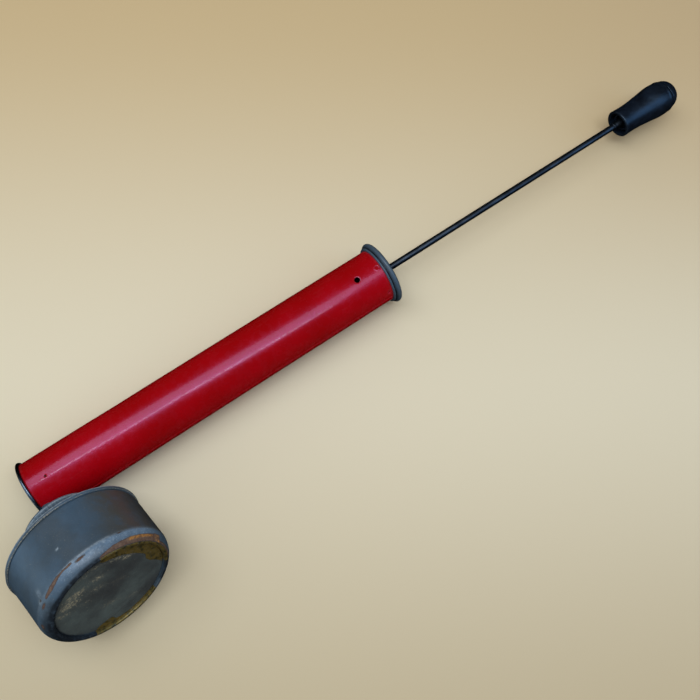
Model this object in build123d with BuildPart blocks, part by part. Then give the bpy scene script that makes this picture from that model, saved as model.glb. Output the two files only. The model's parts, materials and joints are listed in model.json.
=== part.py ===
"""Hand-pump insecticide sprayer: a tinplate pump barrel, a pull-out plunger and a screwed-on can.

The sprayer lies on its side. The barrel rests on its two end beads and the can on its rim seam.
+X is the direction of spray, +Z is up, and the plunger is drawn out fully towards -X.
The origin is at the centre of the bounding box, on the surface that the sprayer lies on.
Lengths are in millimetres. Along the barrel, stations run forward from the rear face of its cap.
Along the can, depths run from the barrel's centre line towards the bottom of the can.
"""
from build123d import *
from math import acos, asin, atan2, cos, degrees, hypot, pi, radians, sin, sqrt
import os

os.makedirs("parts", exist_ok=True)

# ---------------------------------------------------------------- driving dimensions
BARREL_LENGTH = 281.0          # rear face of the cap to the front face of the rim
BARREL_R = 20.0                # outside of the tube
TIN = 0.5                      # sheet thickness of barrel and can
STROKE = 215.0                 # plunger travel
FIT = 0.05                     # radial gap of a running fit
SEAT = 0.05                    # gap left between two pieces that are soldered or pinned together

FRONT_BEAD_R = 1.15            # section radius of the front rim
FRONT_BEAD_RING_R = 20.6       # radius of the front rim's centre circle
REAR_BEAD_R = 2.0              # section radius of the rear cap's roll
REAR_BEAD_RING_R = 21.8        # radius of the rear roll's centre circle

CAN_SETBACK = 1.8              # from the front face back to the can's axis, on the barrel's centre line
CAN_LEAN = 9.6                 # degrees, the can's axis leans towards the handle
CAN_RIM_R = 1.3                # section radius of the can's rim seam
CAN_RIM_RING_R = 43.6          # radius of the rim seam's centre circle
CAN_RIM_DEPTH = 52.1           # depth of the rim seam's centre circle
KERB_R = 1.3                   # section radius of the bottom kerb
KERB_RING_R = 37.5             # radius of the kerb's centre circle
KERB_DEPTH = 94.3              # depth of the kerb's centre circle
KERB_WEAR = 0.1                # the kerb is worn flat by this much where the can stands

ROD_R = 2.4                    # plunger rod
HANDLE_LENGTH = 56.0
FERRULE_REACH = 5.0            # ferrule in front of the handle's mouth

# ---------------------------------------------------------------- how the sprayer lies
BARREL_BORE_R = BARREL_R - TIN
FRONT_HEIGHT = FRONT_BEAD_RING_R + FRONT_BEAD_R
REAR_HEIGHT = REAR_BEAD_RING_R + REAR_BEAD_R
FRONT_BEAD_STATION = BARREL_LENGTH - FRONT_BEAD_R
NOSE_DOWN = asin((REAR_HEIGHT - FRONT_HEIGHT) / (FRONT_BEAD_STATION - REAR_BEAD_R))

FORWARD = Vector(cos(NOSE_DOWN), 0, -sin(NOSE_DOWN))
UPWARD = Vector(sin(NOSE_DOWN), 0, cos(NOSE_DOWN))
SIDEWAYS = Vector(0, 1, 0)

# the can rolls down round the barrel until its rim seam touches the surface
can_station = BARREL_LENGTH - CAN_SETBACK
can_height = FRONT_HEIGHT + (FRONT_BEAD_STATION - can_station) * sin(NOSE_DOWN)
rim_reach = hypot(CAN_RIM_RING_R, CAN_RIM_DEPTH)
CAN_RISE = acos((can_height - CAN_RIM_R) / rim_reach) - atan2(CAN_RIM_DEPTH, CAN_RIM_RING_R)
lean = radians(CAN_LEAN)
roll_sine = (sin(CAN_RISE) - sin(lean) * sin(NOSE_DOWN)) / (cos(lean) * cos(NOSE_DOWN))
CAN_ROLL = asin(roll_sine)
across = SIDEWAYS * cos(CAN_ROLL) + UPWARD * sin(CAN_ROLL)
CAN_AXIS = across * cos(lean) - FORWARD * sin(lean)

# the bounding box, which sets the origin
handle_mouth = -(STROKE + 2.0) - FERRULE_REACH
handle_end = handle_mouth - HANDLE_LENGTH
can_front = can_station * cos(NOSE_DOWN) + CAN_RIM_DEPTH * CAN_AXIS.X
can_front += CAN_RIM_RING_R * sqrt(1 - CAN_AXIS.X**2) + CAN_RIM_R
can_side = KERB_DEPTH * CAN_AXIS.Y + KERB_RING_R * sqrt(1 - CAN_AXIS.Y**2) + KERB_R
rear_x = -(can_front + handle_end * cos(NOSE_DOWN)) / 2
barrel_y = -(can_side - REAR_HEIGHT) / 2
rear_z = REAR_HEIGHT + REAR_BEAD_R * sin(NOSE_DOWN)

REAR_POINT = Vector(rear_x, barrel_y, rear_z)
CAN_POINT = REAR_POINT + FORWARD * can_station

BARREL_AXIS = Axis(REAR_POINT, FORWARD)
CAN_LINE = Axis(CAN_POINT, CAN_AXIS)
BARREL = Plane(origin=REAR_POINT, x_dir=UPWARD, z_dir=FORWARD)
CAN = Plane(origin=CAN_POINT, x_dir=CAN_AXIS.cross(FORWARD).cross(CAN_AXIS), z_dir=CAN_AXIS)
# sections to revolve: x along the barrel and y outwards, or x outwards and y along the can
BARREL_SECTION = Plane(origin=REAR_POINT, x_dir=FORWARD, z_dir=-SIDEWAYS)
CAN_SECTION = Plane(origin=CAN_POINT, x_dir=CAN.x_dir, z_dir=CAN.x_dir.cross(CAN_AXIS))


def outline(*points):
    """Fill the straight-sided outline through the points, inside the open sketch."""
    with BuildLine() as border:
        Polyline(*points, close=True)
    make_face(border.edges())


def ring(start, end, inner, outer):
    """Fill the section of a washer or bush on the barrel's axis, between two stations."""
    outline((start, inner), (end, inner), (end, outer), (start, outer))


def across_barrel(station):
    """The plane on the barrel's axis at a station, facing upwards."""
    return Plane(origin=REAR_POINT + FORWARD * station, x_dir=FORWARD, z_dir=UPWARD)


def finish(builder, name):
    """Label a finished piece and write it as a node of its own."""
    builder.part.label = name
    export_step(builder.part, f"parts/{name}.step")


# ---------------------------------------------------------------- barrel
TUBE_START = 0.75              # the tube's end inside the rear cap's channel
INLET_STATION = 25.0           # air inlet, uncovered when the plunger is right back
INLET_R = 2.1
CRIMP_STATION = 8.4            # dimples that hold the rear cap
CRIMP_R = 2.8
CRIMP_DEPTH = 0.35
CRIMP_COUNT = 6
STAKE_STATION = 266.0          # hole for the pin that holds the bulkhead
STAKE_R = 0.65
SEAM_TURN = -84.0              # degrees from the top to the lap seam, on the can's side
SEAM_WIDTH = 5.0
SEAM_PROUD = 0.35
SEAM_START = 6.1               # in front of the rear cap's flange
SEAM_END = BARREL_LENGTH - 2 * FRONT_BEAD_R - SEAT
SIPHON_R = 2.0
DRILL_REACH = BARREL_R + 1.0   # past the outside of the tube


def lap_seam(clearance):
    """Fill the section of the raised lap seam, grown by a clearance, inside the open sketch."""
    half = degrees((SEAM_WIDTH / 2 + clearance) / BARREL_R)
    with BuildLine() as border:
        inner_arc = CenterArc((0, 0), BARREL_R - TIN / 2, SEAM_TURN - half, 2 * half)
        outer_arc = CenterArc((0, 0), BARREL_R + SEAM_PROUD + clearance, SEAM_TURN - half, 2 * half)
        Line(inner_arc @ 0, outer_arc @ 0)
        Line(inner_arc @ 1, outer_arc @ 1)
    make_face(border.edges())


with BuildPart() as barrel_tube:
    with BuildSketch(BARREL_SECTION):
        ring(TUBE_START, BARREL_LENGTH, BARREL_BORE_R, BARREL_R)
    revolve(axis=BARREL_AXIS)
    with BuildSketch(BARREL.offset(SEAM_START)):
        lap_seam(0)
    extrude(amount=SEAM_END - SEAM_START)
    with BuildSketch(across_barrel(INLET_STATION)):
        Circle(INLET_R)
    extrude(amount=DRILL_REACH, mode=Mode.SUBTRACT)
    crimp_offset = CRIMP_R - CRIMP_DEPTH
    with Locations(BARREL.offset(CRIMP_STATION)):
        with PolarLocations(BARREL_R + crimp_offset, CRIMP_COUNT):
            Sphere(CRIMP_R, mode=Mode.SUBTRACT)
    with BuildSketch(across_barrel(STAKE_STATION)):
        Circle(STAKE_R)
    extrude(amount=DRILL_REACH, mode=Mode.SUBTRACT)
    with BuildSketch(CAN):
        Circle(SIPHON_R + SEAT)
    extrude(amount=DRILL_REACH, mode=Mode.SUBTRACT)
finish(barrel_tube, "barrel_tube")

with BuildPart() as front_rim:
    with BuildSketch(BARREL_SECTION):
        with Locations((FRONT_BEAD_STATION, FRONT_BEAD_RING_R)):
            Circle(FRONT_BEAD_R)
        with Locations((FRONT_BEAD_STATION, BARREL_R - FRONT_BEAD_R + SEAT)):
            Rectangle(4 * FRONT_BEAD_R, 2 * FRONT_BEAD_R, mode=Mode.SUBTRACT)
    revolve(axis=BARREL_AXIS)
finish(front_rim, "front_rim")

# ---------------------------------------------------------------- rear cap and rod guide
CAP_DISC = (1.0, 1.6)          # stations of the end disc's two faces
CAP_SKIRT_END = 12.0
CAP_HOLE_R = 4.0
FLANGE_END = 5.8               # front edge of the cap's outer flange
FLANGE_EDGE_R = 21.0
FLANGE_SWELL = 0.9             # from the flange's highest point to its front edge
ROLL_TAIL = 0.35               # how far round the roll starts and stops from its centre line
GROOVE_STEP = 0.25             # the groove between roll and flange, forwards
GROOVE_DROP = 0.1              # and inwards
CHIME = (0.3, 0.2)             # the end's outer corner: station, and drop from the skirt
CHIME_INSET = 0.9              # from the skirt to where the end turns in

with BuildPart() as rear_cap:
    skirt_r = BARREL_BORE_R - SEAT
    with BuildSketch(BARREL_SECTION):
        with BuildLine():
            reach = sqrt(REAR_BEAD_R**2 - ROLL_TAIL**2)
            roll_start = (REAR_BEAD_R - reach, REAR_BEAD_RING_R - ROLL_TAIL)
            roll_top = (REAR_BEAD_R, REAR_BEAD_RING_R + REAR_BEAD_R)
            roll_end = (REAR_BEAD_R + reach, REAR_BEAD_RING_R + ROLL_TAIL)
            ThreePointArc(roll_start, roll_top, roll_end)
            groove = (roll_end[0] + GROOVE_STEP, roll_end[1] - GROOVE_DROP)
            flange_top = (FLANGE_END - FLANGE_SWELL, groove[1] - 1.5 * GROOVE_DROP)
            Line(roll_end, groove)
            ThreePointArc(groove, flange_top, (FLANGE_END, FLANGE_EDGE_R))
            Polyline(
                (FLANGE_END, FLANGE_EDGE_R), (FLANGE_END, BARREL_R + SEAT),
                (TUBE_START - SEAT, BARREL_R + SEAT), (TUBE_START - SEAT, skirt_r),
                (CAP_SKIRT_END, skirt_r), (CAP_SKIRT_END, skirt_r - TIN),
                (CAP_DISC[1], skirt_r - TIN), (CAP_DISC[1], CAP_HOLE_R), (CAP_DISC[0], CAP_HOLE_R),
                (CAP_DISC[0], skirt_r - CHIME_INSET), (CHIME[0], skirt_r - CHIME[1]), roll_start,
            )
        make_face()
    revolve(axis=BARREL_AXIS)
finish(rear_cap, "rear_cap")

BUSH_BACK = -0.5
BUSH_FRONT = 1.65
BUSH_FLANGE = 2.5              # width of the bush's flange
BUSH_FLANGE_BACK = 0.1
BUSH_BEVEL = 0.3
BUSH_NOSE = 0.9                # drop from the body to the bush's rear face
with BuildPart() as guide_bush:
    flange_r = CAP_HOLE_R + BUSH_FLANGE
    body_r = CAP_HOLE_R - SEAT
    with BuildSketch(BARREL_SECTION):
        outline(
            (BUSH_BACK, ROD_R + FIT), (BUSH_FRONT, ROD_R + FIT), (BUSH_FRONT, body_r),
            (CAP_DISC[0] - SEAT, body_r), (CAP_DISC[0] - SEAT, flange_r), (BUSH_BEVEL, flange_r),
            (BUSH_FLANGE_BACK, flange_r - BUSH_BEVEL), (BUSH_FLANGE_BACK, body_r),
            (BUSH_BACK + BUSH_BEVEL, body_r - BUSH_BEVEL), (BUSH_BACK, body_r - BUSH_NOSE),
        )
    revolve(axis=BARREL_AXIS)
finish(guide_bush, "guide_bush")

FELT = (1.7, 3.6)              # stations of the felt washer
FELT_R = 7.0
RETAINER_R = 9.5
RETAINER_LIP_R = 7.1
RETAINER_HOLE = 0.5            # clear of the rod
with BuildPart() as guide_felt:
    with BuildSketch(BARREL_SECTION):
        ring(*FELT, ROD_R + FIT, FELT_R)
    revolve(axis=BARREL_AXIS)
finish(guide_felt, "guide_felt")

with BuildPart() as felt_retainer:
    cover = (FELT[1] + SEAT, FELT[1] + SEAT + TIN)
    foot = (CAP_DISC[1] + SEAT, CAP_DISC[1] + SEAT + TIN)
    with BuildSketch(BARREL_SECTION):
        outline(
            (cover[0], ROD_R + RETAINER_HOLE), (cover[1], ROD_R + RETAINER_HOLE),
            (cover[1], RETAINER_LIP_R + TIN), (foot[1], RETAINER_LIP_R + TIN), (foot[1], RETAINER_R),
            (foot[0], RETAINER_R),
            (foot[0], RETAINER_LIP_R), (cover[0], RETAINER_LIP_R),
        )
    revolve(axis=BARREL_AXIS)
finish(felt_retainer, "felt_retainer")

# ---------------------------------------------------------------- bulkhead, air nozzle and siphon
BULKHEAD = (262.0, 262.6)
BULKHEAD_SKIRT_END = 268.5
NOZZLE_R = 2.5
NOZZLE_TIP = 275.0
NOZZLE_BACK = 260.5
NOZZLE_COLLAR_R = 4.6
NOZZLE_COLLAR_FRONT = 264.0
NOZZLE_CONE = (264.4, 3.4)     # station and radius where the nozzle's cone starts
NOZZLE_WALL = 0.8
JET_R = 0.6
JET_THROAT = (267.0, 270.0)    # stations between which the passage narrows to the jet
PIN_SUNK = 0.15                # the bulkhead pin's head below the paint

with BuildPart() as bulkhead:
    skirt_r = BARREL_BORE_R - SEAT
    with BuildSketch(BARREL_SECTION):
        outline(
            (BULKHEAD[0], NOZZLE_R), (BULKHEAD[0], skirt_r), (BULKHEAD_SKIRT_END, skirt_r),
            (BULKHEAD_SKIRT_END, skirt_r - TIN), (BULKHEAD[1], skirt_r - TIN), (BULKHEAD[1], NOZZLE_R),
        )
    revolve(axis=BARREL_AXIS)
    with BuildSketch(across_barrel(STAKE_STATION)):
        Circle(STAKE_R)
    extrude(amount=BARREL_R, mode=Mode.SUBTRACT)
finish(bulkhead, "bulkhead")

with BuildPart() as bulkhead_pin:
    with BuildSketch(across_barrel(STAKE_STATION).offset(skirt_r - TIN)):
        Circle(STAKE_R - SEAT / 2)
    extrude(amount=BARREL_R - skirt_r + TIN - PIN_SUNK)
finish(bulkhead_pin, "bulkhead_pin")

with BuildPart() as air_nozzle:
    spigot_r = NOZZLE_R - SEAT
    with BuildSketch(BARREL_SECTION):
        outline(
            (NOZZLE_BACK, JET_R + NOZZLE_WALL), (NOZZLE_BACK, spigot_r), (BULKHEAD[1] + SEAT, spigot_r),
            (BULKHEAD[1] + SEAT, NOZZLE_COLLAR_R), (NOZZLE_COLLAR_FRONT, NOZZLE_COLLAR_R), NOZZLE_CONE,
            (NOZZLE_TIP, JET_R + NOZZLE_WALL), (NOZZLE_TIP, JET_R), (JET_THROAT[1], JET_R),
            (JET_THROAT[0], JET_R + NOZZLE_WALL),
        )
    revolve(axis=BARREL_AXIS)
finish(air_nozzle, "air_nozzle")

SIPHON_TOP = 1.2               # depth of the siphon's tip, just under the air jet
SIPHON_END = 89.0
SIPHON_WALL = 0.7
SIPHON_TAPER = 1.2             # length of the siphon's tapered tip
SIPHON_TIP_WALL = 0.4
with BuildPart() as siphon_tube:
    with BuildSketch(CAN_SECTION):
        outline(
            (SIPHON_R - SIPHON_WALL, SIPHON_TOP), (SIPHON_R - SIPHON_WALL + SIPHON_TIP_WALL, SIPHON_TOP),
            (SIPHON_R, SIPHON_TOP + SIPHON_TAPER), (SIPHON_R, SIPHON_END),
            (SIPHON_R - SIPHON_WALL, SIPHON_END),
        )
    revolve(axis=CAN_LINE)
finish(siphon_tube, "siphon_tube")

# ---------------------------------------------------------------- screw cap under the barrel
CAP_TOP = 31.4                 # depth of the screw cap's top face
CAP_BASE = 43.4
CAP_R = 24.7
CAP_WALL = 0.6
FLUTES = 60
FLUTE_R = 0.45
FLUTE_MARGIN = 1.6             # from either end of the cap to the flutes
CAP_BEVEL = 0.8
CAP_BEAD = 0.25                # how far the rolled edge stands out
CAP_BEAD_HEIGHT = 0.5
CAP_FILLET = 0.4               # inside the cap's corner
SADDLE_R = 7.0
SADDLE_FLARE_R = 12.5          # where the saddle meets the screw cap
SADDLE_FLARE_DEPTH = CAP_TOP - 3.0
SADDLE_DRAFT = 1.0             # how much the saddle widens on its way to the flare

with BuildPart() as cap_saddle:
    with BuildSketch(CAN_SECTION):
        outline(
            (SIPHON_R + SEAT, BARREL_R / 2), (SADDLE_R, BARREL_R / 2),
            (SADDLE_R + SADDLE_DRAFT, SADDLE_FLARE_DEPTH), (SADDLE_FLARE_R, CAP_TOP - SEAT),
            (SIPHON_R + SEAT, CAP_TOP - SEAT),
        )
    revolve(axis=CAN_LINE)
    with BuildSketch(BARREL.offset(can_station - CAP_R)):
        Circle(BARREL_R + SEAT)
        lap_seam(SEAT)
    extrude(amount=2 * CAP_R, mode=Mode.SUBTRACT)
    with BuildSketch(BARREL.offset(BARREL_LENGTH - 2 * FRONT_BEAD_R - SEAT)):
        Circle(2 * CAP_R)
    extrude(amount=CAP_R, mode=Mode.SUBTRACT)
finish(cap_saddle, "cap_saddle")

with BuildPart() as screw_cap:
    bore_r = CAP_R - CAP_WALL
    roof = CAP_TOP + CAP_WALL
    with BuildSketch(CAN_SECTION):
        outline(
            (SIPHON_R + SEAT, CAP_TOP), (CAP_R - CAP_BEVEL, CAP_TOP), (CAP_R, CAP_TOP + CAP_BEVEL),
            (CAP_R, CAP_BASE - CAP_BEVEL), (CAP_R + CAP_BEAD, CAP_BASE - CAP_BEAD_HEIGHT),
            (CAP_R + CAP_BEAD, CAP_BASE), (bore_r, CAP_BASE), (bore_r, roof + CAP_FILLET),
            (bore_r - CAP_FILLET, roof), (SIPHON_R + SEAT, roof),
        )
    revolve(axis=CAN_LINE)
    with BuildSketch(CAN.offset(CAP_TOP + FLUTE_MARGIN)):
        with PolarLocations(CAP_R + FLUTE_R / 2, FLUTES):
            Circle(FLUTE_R)
    extrude(amount=CAP_BASE - CAP_TOP - 2 * FLUTE_MARGIN, mode=Mode.SUBTRACT)
finish(screw_cap, "screw_cap")

# ---------------------------------------------------------------- can
NECK_R = 22.6
NECK_TOP = 34.5                # depth of the neck's lip
NECK_ROOT = 45.0
NECK_FLANGE = (2.0, 1.1)       # reach and depth of the flange soldered under the dome
THREAD_PITCH = 2.5
THREAD_TURNS = 2.5
THREAD_R = 0.75
THREAD_LEAD_IN = 1.6
GASKET_BORE_R = 16.5
GASKET_INSET = 0.2
GAP = 0.3                      # between pieces that move apart
TOP_EDGE = (42.27, 51.6)       # radius and depth where the domed top meets the rim seam
DOME_MIDDLE = (34.0, 47.6)     # and half way up the dome
DOME_EDGE = (NECK_R + 0.1, NECK_ROOT + 1.3)    # and round the neck

with BuildPart() as can_gasket:
    with BuildSketch(CAN_SECTION):
        outline(
            (GASKET_BORE_R, roof + GAP), (NECK_R - GASKET_INSET, roof + GAP),
            (NECK_R - GASKET_INSET, NECK_TOP - GAP), (GASKET_BORE_R, NECK_TOP - GAP),
        )
    revolve(axis=CAN_LINE)
finish(can_gasket, "can_gasket")

with BuildPart() as can_neck:
    with BuildSketch(CAN_SECTION):
        outline(
            (NECK_R - TIN, NECK_TOP), (NECK_R, NECK_TOP), (NECK_R, NECK_ROOT),
            (NECK_R + NECK_FLANGE[0], NECK_ROOT + NECK_FLANGE[1] - TIN),
            (NECK_R + NECK_FLANGE[0], NECK_ROOT + NECK_FLANGE[1]), (NECK_R - TIN, NECK_ROOT + 0.8 * TIN),
        )
    revolve(axis=CAN_LINE)
    with BuildLine():
        thread_line = Helix(
            THREAD_PITCH, THREAD_TURNS * THREAD_PITCH, NECK_R,
            center=CAN_POINT + CAN_AXIS * (NECK_TOP + THREAD_LEAD_IN), direction=CAN_AXIS,
        )
    with BuildSketch(Plane(origin=thread_line @ 0, z_dir=thread_line % 0)):
        Circle(THREAD_R)
    sweep(path=thread_line, is_frenet=True)
finish(can_neck, "can_neck")

with BuildPart() as can_top:
    with BuildSketch(CAN_SECTION):
        with BuildLine():
            dome = ThreePointArc(DOME_EDGE, DOME_MIDDLE, TOP_EDGE)
            under = ThreePointArc(
                (TOP_EDGE[0], TOP_EDGE[1] + TIN), (DOME_MIDDLE[0], DOME_MIDDLE[1] + TIN),
                (DOME_EDGE[0], DOME_EDGE[1] + TIN),
            )
            Line(dome @ 1, under @ 0)
            Line(under @ 1, dome @ 0)
        make_face()
    revolve(axis=CAN_LINE)
finish(can_top, "can_top")

with BuildPart() as can_rim:
    with BuildSketch(CAN_SECTION):
        with Locations((CAN_RIM_RING_R, CAN_RIM_DEPTH)):
            Circle(CAN_RIM_R)
    revolve(axis=CAN_LINE)
finish(can_rim, "can_rim")

WALL_TOP = (43.9, 54.1)        # radius and depth where the can's wall starts under its rim seam
SEAM_STEP = 0.4                # how far the wall is drawn in where it meets the seam
CREASE = (43.1, 87.0)          # where the wall turns into the shoulder
FLANGE_R = 34.2                # inner edge of the flange that carries the bottom disc
DISC_FACE = 93.3               # depth of the bottom disc's outer face
SHOULDER = (41.9, 91.6)        # half way round the shoulder, outside
SHOULDER_INSIDE = (41.4, 91.2)
INNER_FILLET = 0.6             # behind the kerb


def on_kerb(turn):
    """A point on the kerb's round section, turned from straight outwards towards the bottom."""
    return (KERB_RING_R + KERB_R * cos(turn), KERB_DEPTH + KERB_R * sin(turn))


with BuildPart() as can_body:
    shoulder_turn = pi / 5
    land_turn = asin((KERB_R - KERB_WEAR) / KERB_R)
    groove_r = WALL_TOP[0] - SEAM_STEP
    groove_foot = WALL_TOP[1] - 0.3
    seam_foot = CAN_RIM_DEPTH + CAN_RIM_R + SEAT / 2
    kerb_in = KERB_RING_R - KERB_R
    shelf = DISC_FACE - TIN - SEAT
    with BuildSketch(CAN_SECTION):
        with BuildLine():
            Polyline(
                (groove_r - TIN, seam_foot), (groove_r, seam_foot), (groove_r, groove_foot),
                WALL_TOP, CREASE,
            )
            ThreePointArc(CREASE, SHOULDER, on_kerb(shoulder_turn))
            ThreePointArc(
                on_kerb(shoulder_turn), on_kerb((shoulder_turn + land_turn) / 2), on_kerb(land_turn),
            )
            Line(on_kerb(land_turn), on_kerb(pi - land_turn))
            ThreePointArc(
                on_kerb(pi - land_turn), on_kerb((2 * pi - land_turn) / 2), on_kerb(pi),
            )
            Polyline(
                (kerb_in, KERB_DEPTH), (kerb_in, shelf), (FLANGE_R, shelf), (FLANGE_R, shelf - TIN),
                (kerb_in + INNER_FILLET, shelf - TIN),
                (KERB_RING_R + INNER_FILLET, KERB_DEPTH - INNER_FILLET),
            )
            ThreePointArc(
                (KERB_RING_R + INNER_FILLET, KERB_DEPTH - INNER_FILLET), SHOULDER_INSIDE,
                (CREASE[0] - TIN, CREASE[1]),
            )
            Polyline(
                (CREASE[0] - TIN, CREASE[1]), (WALL_TOP[0] - TIN, WALL_TOP[1]),
                (groove_r - TIN, groove_foot), (groove_r - TIN, seam_foot),
            )
        make_face()
    revolve(axis=CAN_LINE)
finish(can_body, "can_body")

DISC_GAP = 0.35                # between the bottom disc and the kerb
DISC_BEVEL = (0.4, 0.25)
with BuildPart() as can_bottom:
    disc_r = KERB_RING_R - KERB_R - DISC_GAP
    with BuildSketch(CAN_SECTION):
        outline(
            (0, DISC_FACE - TIN), (disc_r, DISC_FACE - TIN), (disc_r, DISC_FACE - DISC_BEVEL[1]),
            (disc_r - DISC_BEVEL[0], DISC_FACE), (0, DISC_FACE),
        )
    revolve(axis=CAN_LINE)
finish(can_bottom, "can_bottom")

# ---------------------------------------------------------------- piston
HUB_R = 4.0
HUB = (6.5, 12.2)
BACK_PLATE = (6.6, 7.6)
BACK_PLATE_R = 17.0
FRONT_PLATE = (10.4, 11.6)
FRONT_PLATE_R = 11.0
LEATHER = 2.0
CUP_BACK = 7.65
CUP_LIP = 18.3
CUP_R = BARREL_BORE_R - GAP
CUP_SPREAD = 0.8               # how much wider the lip is than the cup's root
CUP_CORNER = 1.2
CUP_WAIST = (12.6, 0.1)        # station where the cup starts to spread, and its growth there
CUP_LIP_WALL = 0.6
CUP_FILLET = (1.0, 0.8)        # inside the cup's corner, along and inwards
SPREADER_BACK = CUP_BACK + LEATHER + SEAT

with BuildPart() as piston_hub:
    with BuildSketch(BARREL_SECTION):
        ring(*HUB, ROD_R + FIT, HUB_R)
    revolve(axis=BARREL_AXIS)
finish(piston_hub, "piston_hub")

with BuildPart() as piston_back_plate:
    with BuildSketch(BARREL_SECTION):
        ring(*BACK_PLATE, HUB_R + SEAT, BACK_PLATE_R)
    revolve(axis=BARREL_AXIS)
finish(piston_back_plate, "piston_back_plate")

with BuildPart() as piston_cup:
    root_r = CUP_R - CUP_SPREAD
    inner_face = CUP_BACK + LEATHER
    with BuildSketch(BARREL_SECTION):
        outline(
            (CUP_BACK, HUB_R + SEAT), (CUP_BACK, root_r - CUP_CORNER), (CUP_BACK + CUP_CORNER, root_r),
            (CUP_WAIST[0], root_r + CUP_WAIST[1]), (CUP_LIP, CUP_R), (CUP_LIP, CUP_R - CUP_LIP_WALL),
            (inner_face + CUP_FILLET[0], root_r - LEATHER + GAP),
            (inner_face, root_r - LEATHER - CUP_FILLET[1]), (inner_face, HUB_R + SEAT),
        )
    revolve(axis=BARREL_AXIS)
finish(piston_cup, "piston_cup")

FLARE_ROOT_R = 14.0            # the spreader's flare, which holds the cup's lip out
FLARE_TIP = (16.6, 17.4)
SPREADER_WALL = 0.6
FLARE_WALL = 0.35
with BuildPart() as cup_spreader:
    flare_root = (SPREADER_BACK + SPREADER_WALL, FLARE_ROOT_R)
    with BuildSketch(BARREL_SECTION):
        outline(
            (SPREADER_BACK, HUB_R + SEAT), (SPREADER_BACK, FLARE_ROOT_R), FLARE_TIP,
            (FLARE_TIP[0] + FLARE_WALL, FLARE_TIP[1] - FLARE_WALL), flare_root, (flare_root[0], HUB_R + SEAT),
        )
    revolve(axis=BARREL_AXIS)
finish(cup_spreader, "cup_spreader")

with BuildPart() as piston_front_plate:
    with BuildSketch(BARREL_SECTION):
        ring(*FRONT_PLATE, HUB_R + SEAT, FRONT_PLATE_R)
    revolve(axis=BARREL_AXIS)
finish(piston_front_plate, "piston_front_plate")

# ---------------------------------------------------------------- rod
ROD_FRONT = 17.6
ROD_REAR = handle_mouth - 38.0
ROD_BEVEL = 0.5
COLLAR = (4.6, 6.2)
COLLAR_R = 4.4
WASHER = 0.6
WASHER_R = 5.2
NUT = (13.1, 15.8)
NUT_FLATS = 8.0
PIN_STATION = handle_mouth - 22.0
PIN_R = 1.0
PIN_TOP = 4.5                  # the pin is driven in from below and stops this far above the rod's axis

with BuildPart() as plunger_rod:
    with BuildSketch(BARREL_SECTION):
        outline(
            (ROD_REAR, 0), (ROD_REAR, ROD_R), (ROD_FRONT - ROD_BEVEL, ROD_R),
            (ROD_FRONT, ROD_R - ROD_BEVEL), (ROD_FRONT, 0),
        )
    revolve(axis=BARREL_AXIS)
    with BuildSketch(across_barrel(PIN_STATION)):
        Circle(PIN_R)
    extrude(amount=BARREL_R, both=True, mode=Mode.SUBTRACT)
finish(plunger_rod, "plunger_rod")

with BuildPart() as rod_collar:
    with BuildSketch(BARREL_SECTION):
        ring(*COLLAR, ROD_R, COLLAR_R)
    revolve(axis=BARREL_AXIS)
finish(rod_collar, "rod_collar")

with BuildPart() as rod_washer:
    with BuildSketch(BARREL_SECTION):
        ring(NUT[0] - WASHER, NUT[0], ROD_R, WASHER_R)
    revolve(axis=BARREL_AXIS)
finish(rod_washer, "rod_washer")

with BuildPart() as rod_nut:
    with BuildSketch(BARREL.offset(NUT[0])):
        RegularPolygon(NUT_FLATS / 2, 6, major_radius=False)
        Circle(ROD_R, mode=Mode.SUBTRACT)
    extrude(amount=NUT[1] - NUT[0])
finish(rod_nut, "rod_nut")

# ---------------------------------------------------------------- handle
FERRULE_R = 3.1
FERRULE_BEVEL = (0.6, 0.5)
BOSS_FACE = handle_mouth - 5.0
MOUTH_R = 10.5
MOUTH_WALL = 2.2
WAIST_R = 10.3
BULB_R = 12.6
RECESS_DEPTH = 13.0
RING_R = 6.4                   # stiffening ring inside the hollow mouth
RING_WALL = 1.1
BOSS_R = 4.2
STEP_STATION = handle_mouth - 46.5
STEP = 0.35
STEP_R = 11.75
PLUG_SOCKET_R = 6.0
PLUG_SOCKET_DEPTH = 5.0
PLUG_SPIGOT = 4.8              # shorter than its socket
MOUTH_BEVEL = 0.7
WAIST_STATION = handle_mouth - 12.0
BULB_STATION = handle_mouth - 38.0
RING_FACE = handle_mouth - 3.0
MOULD_DRAFT = (0.4, 0.2, 0.5)  # of the boss, the ring and the mouth's wall over the recess
PIN_END_GAP = 0.4              # from the pin's lower end to the handle's surface

with BuildPart() as rod_ferrule:
    ferrule_front = handle_mouth + FERRULE_REACH
    with BuildSketch(BARREL_SECTION):
        outline(
            (BOSS_FACE, ROD_R), (BOSS_FACE, FERRULE_R), (ferrule_front - FERRULE_BEVEL[0], FERRULE_R),
            (ferrule_front, FERRULE_R - FERRULE_BEVEL[1]), (ferrule_front, ROD_R),
        )
    revolve(axis=BARREL_AXIS)
finish(rod_ferrule, "rod_ferrule")

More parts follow.
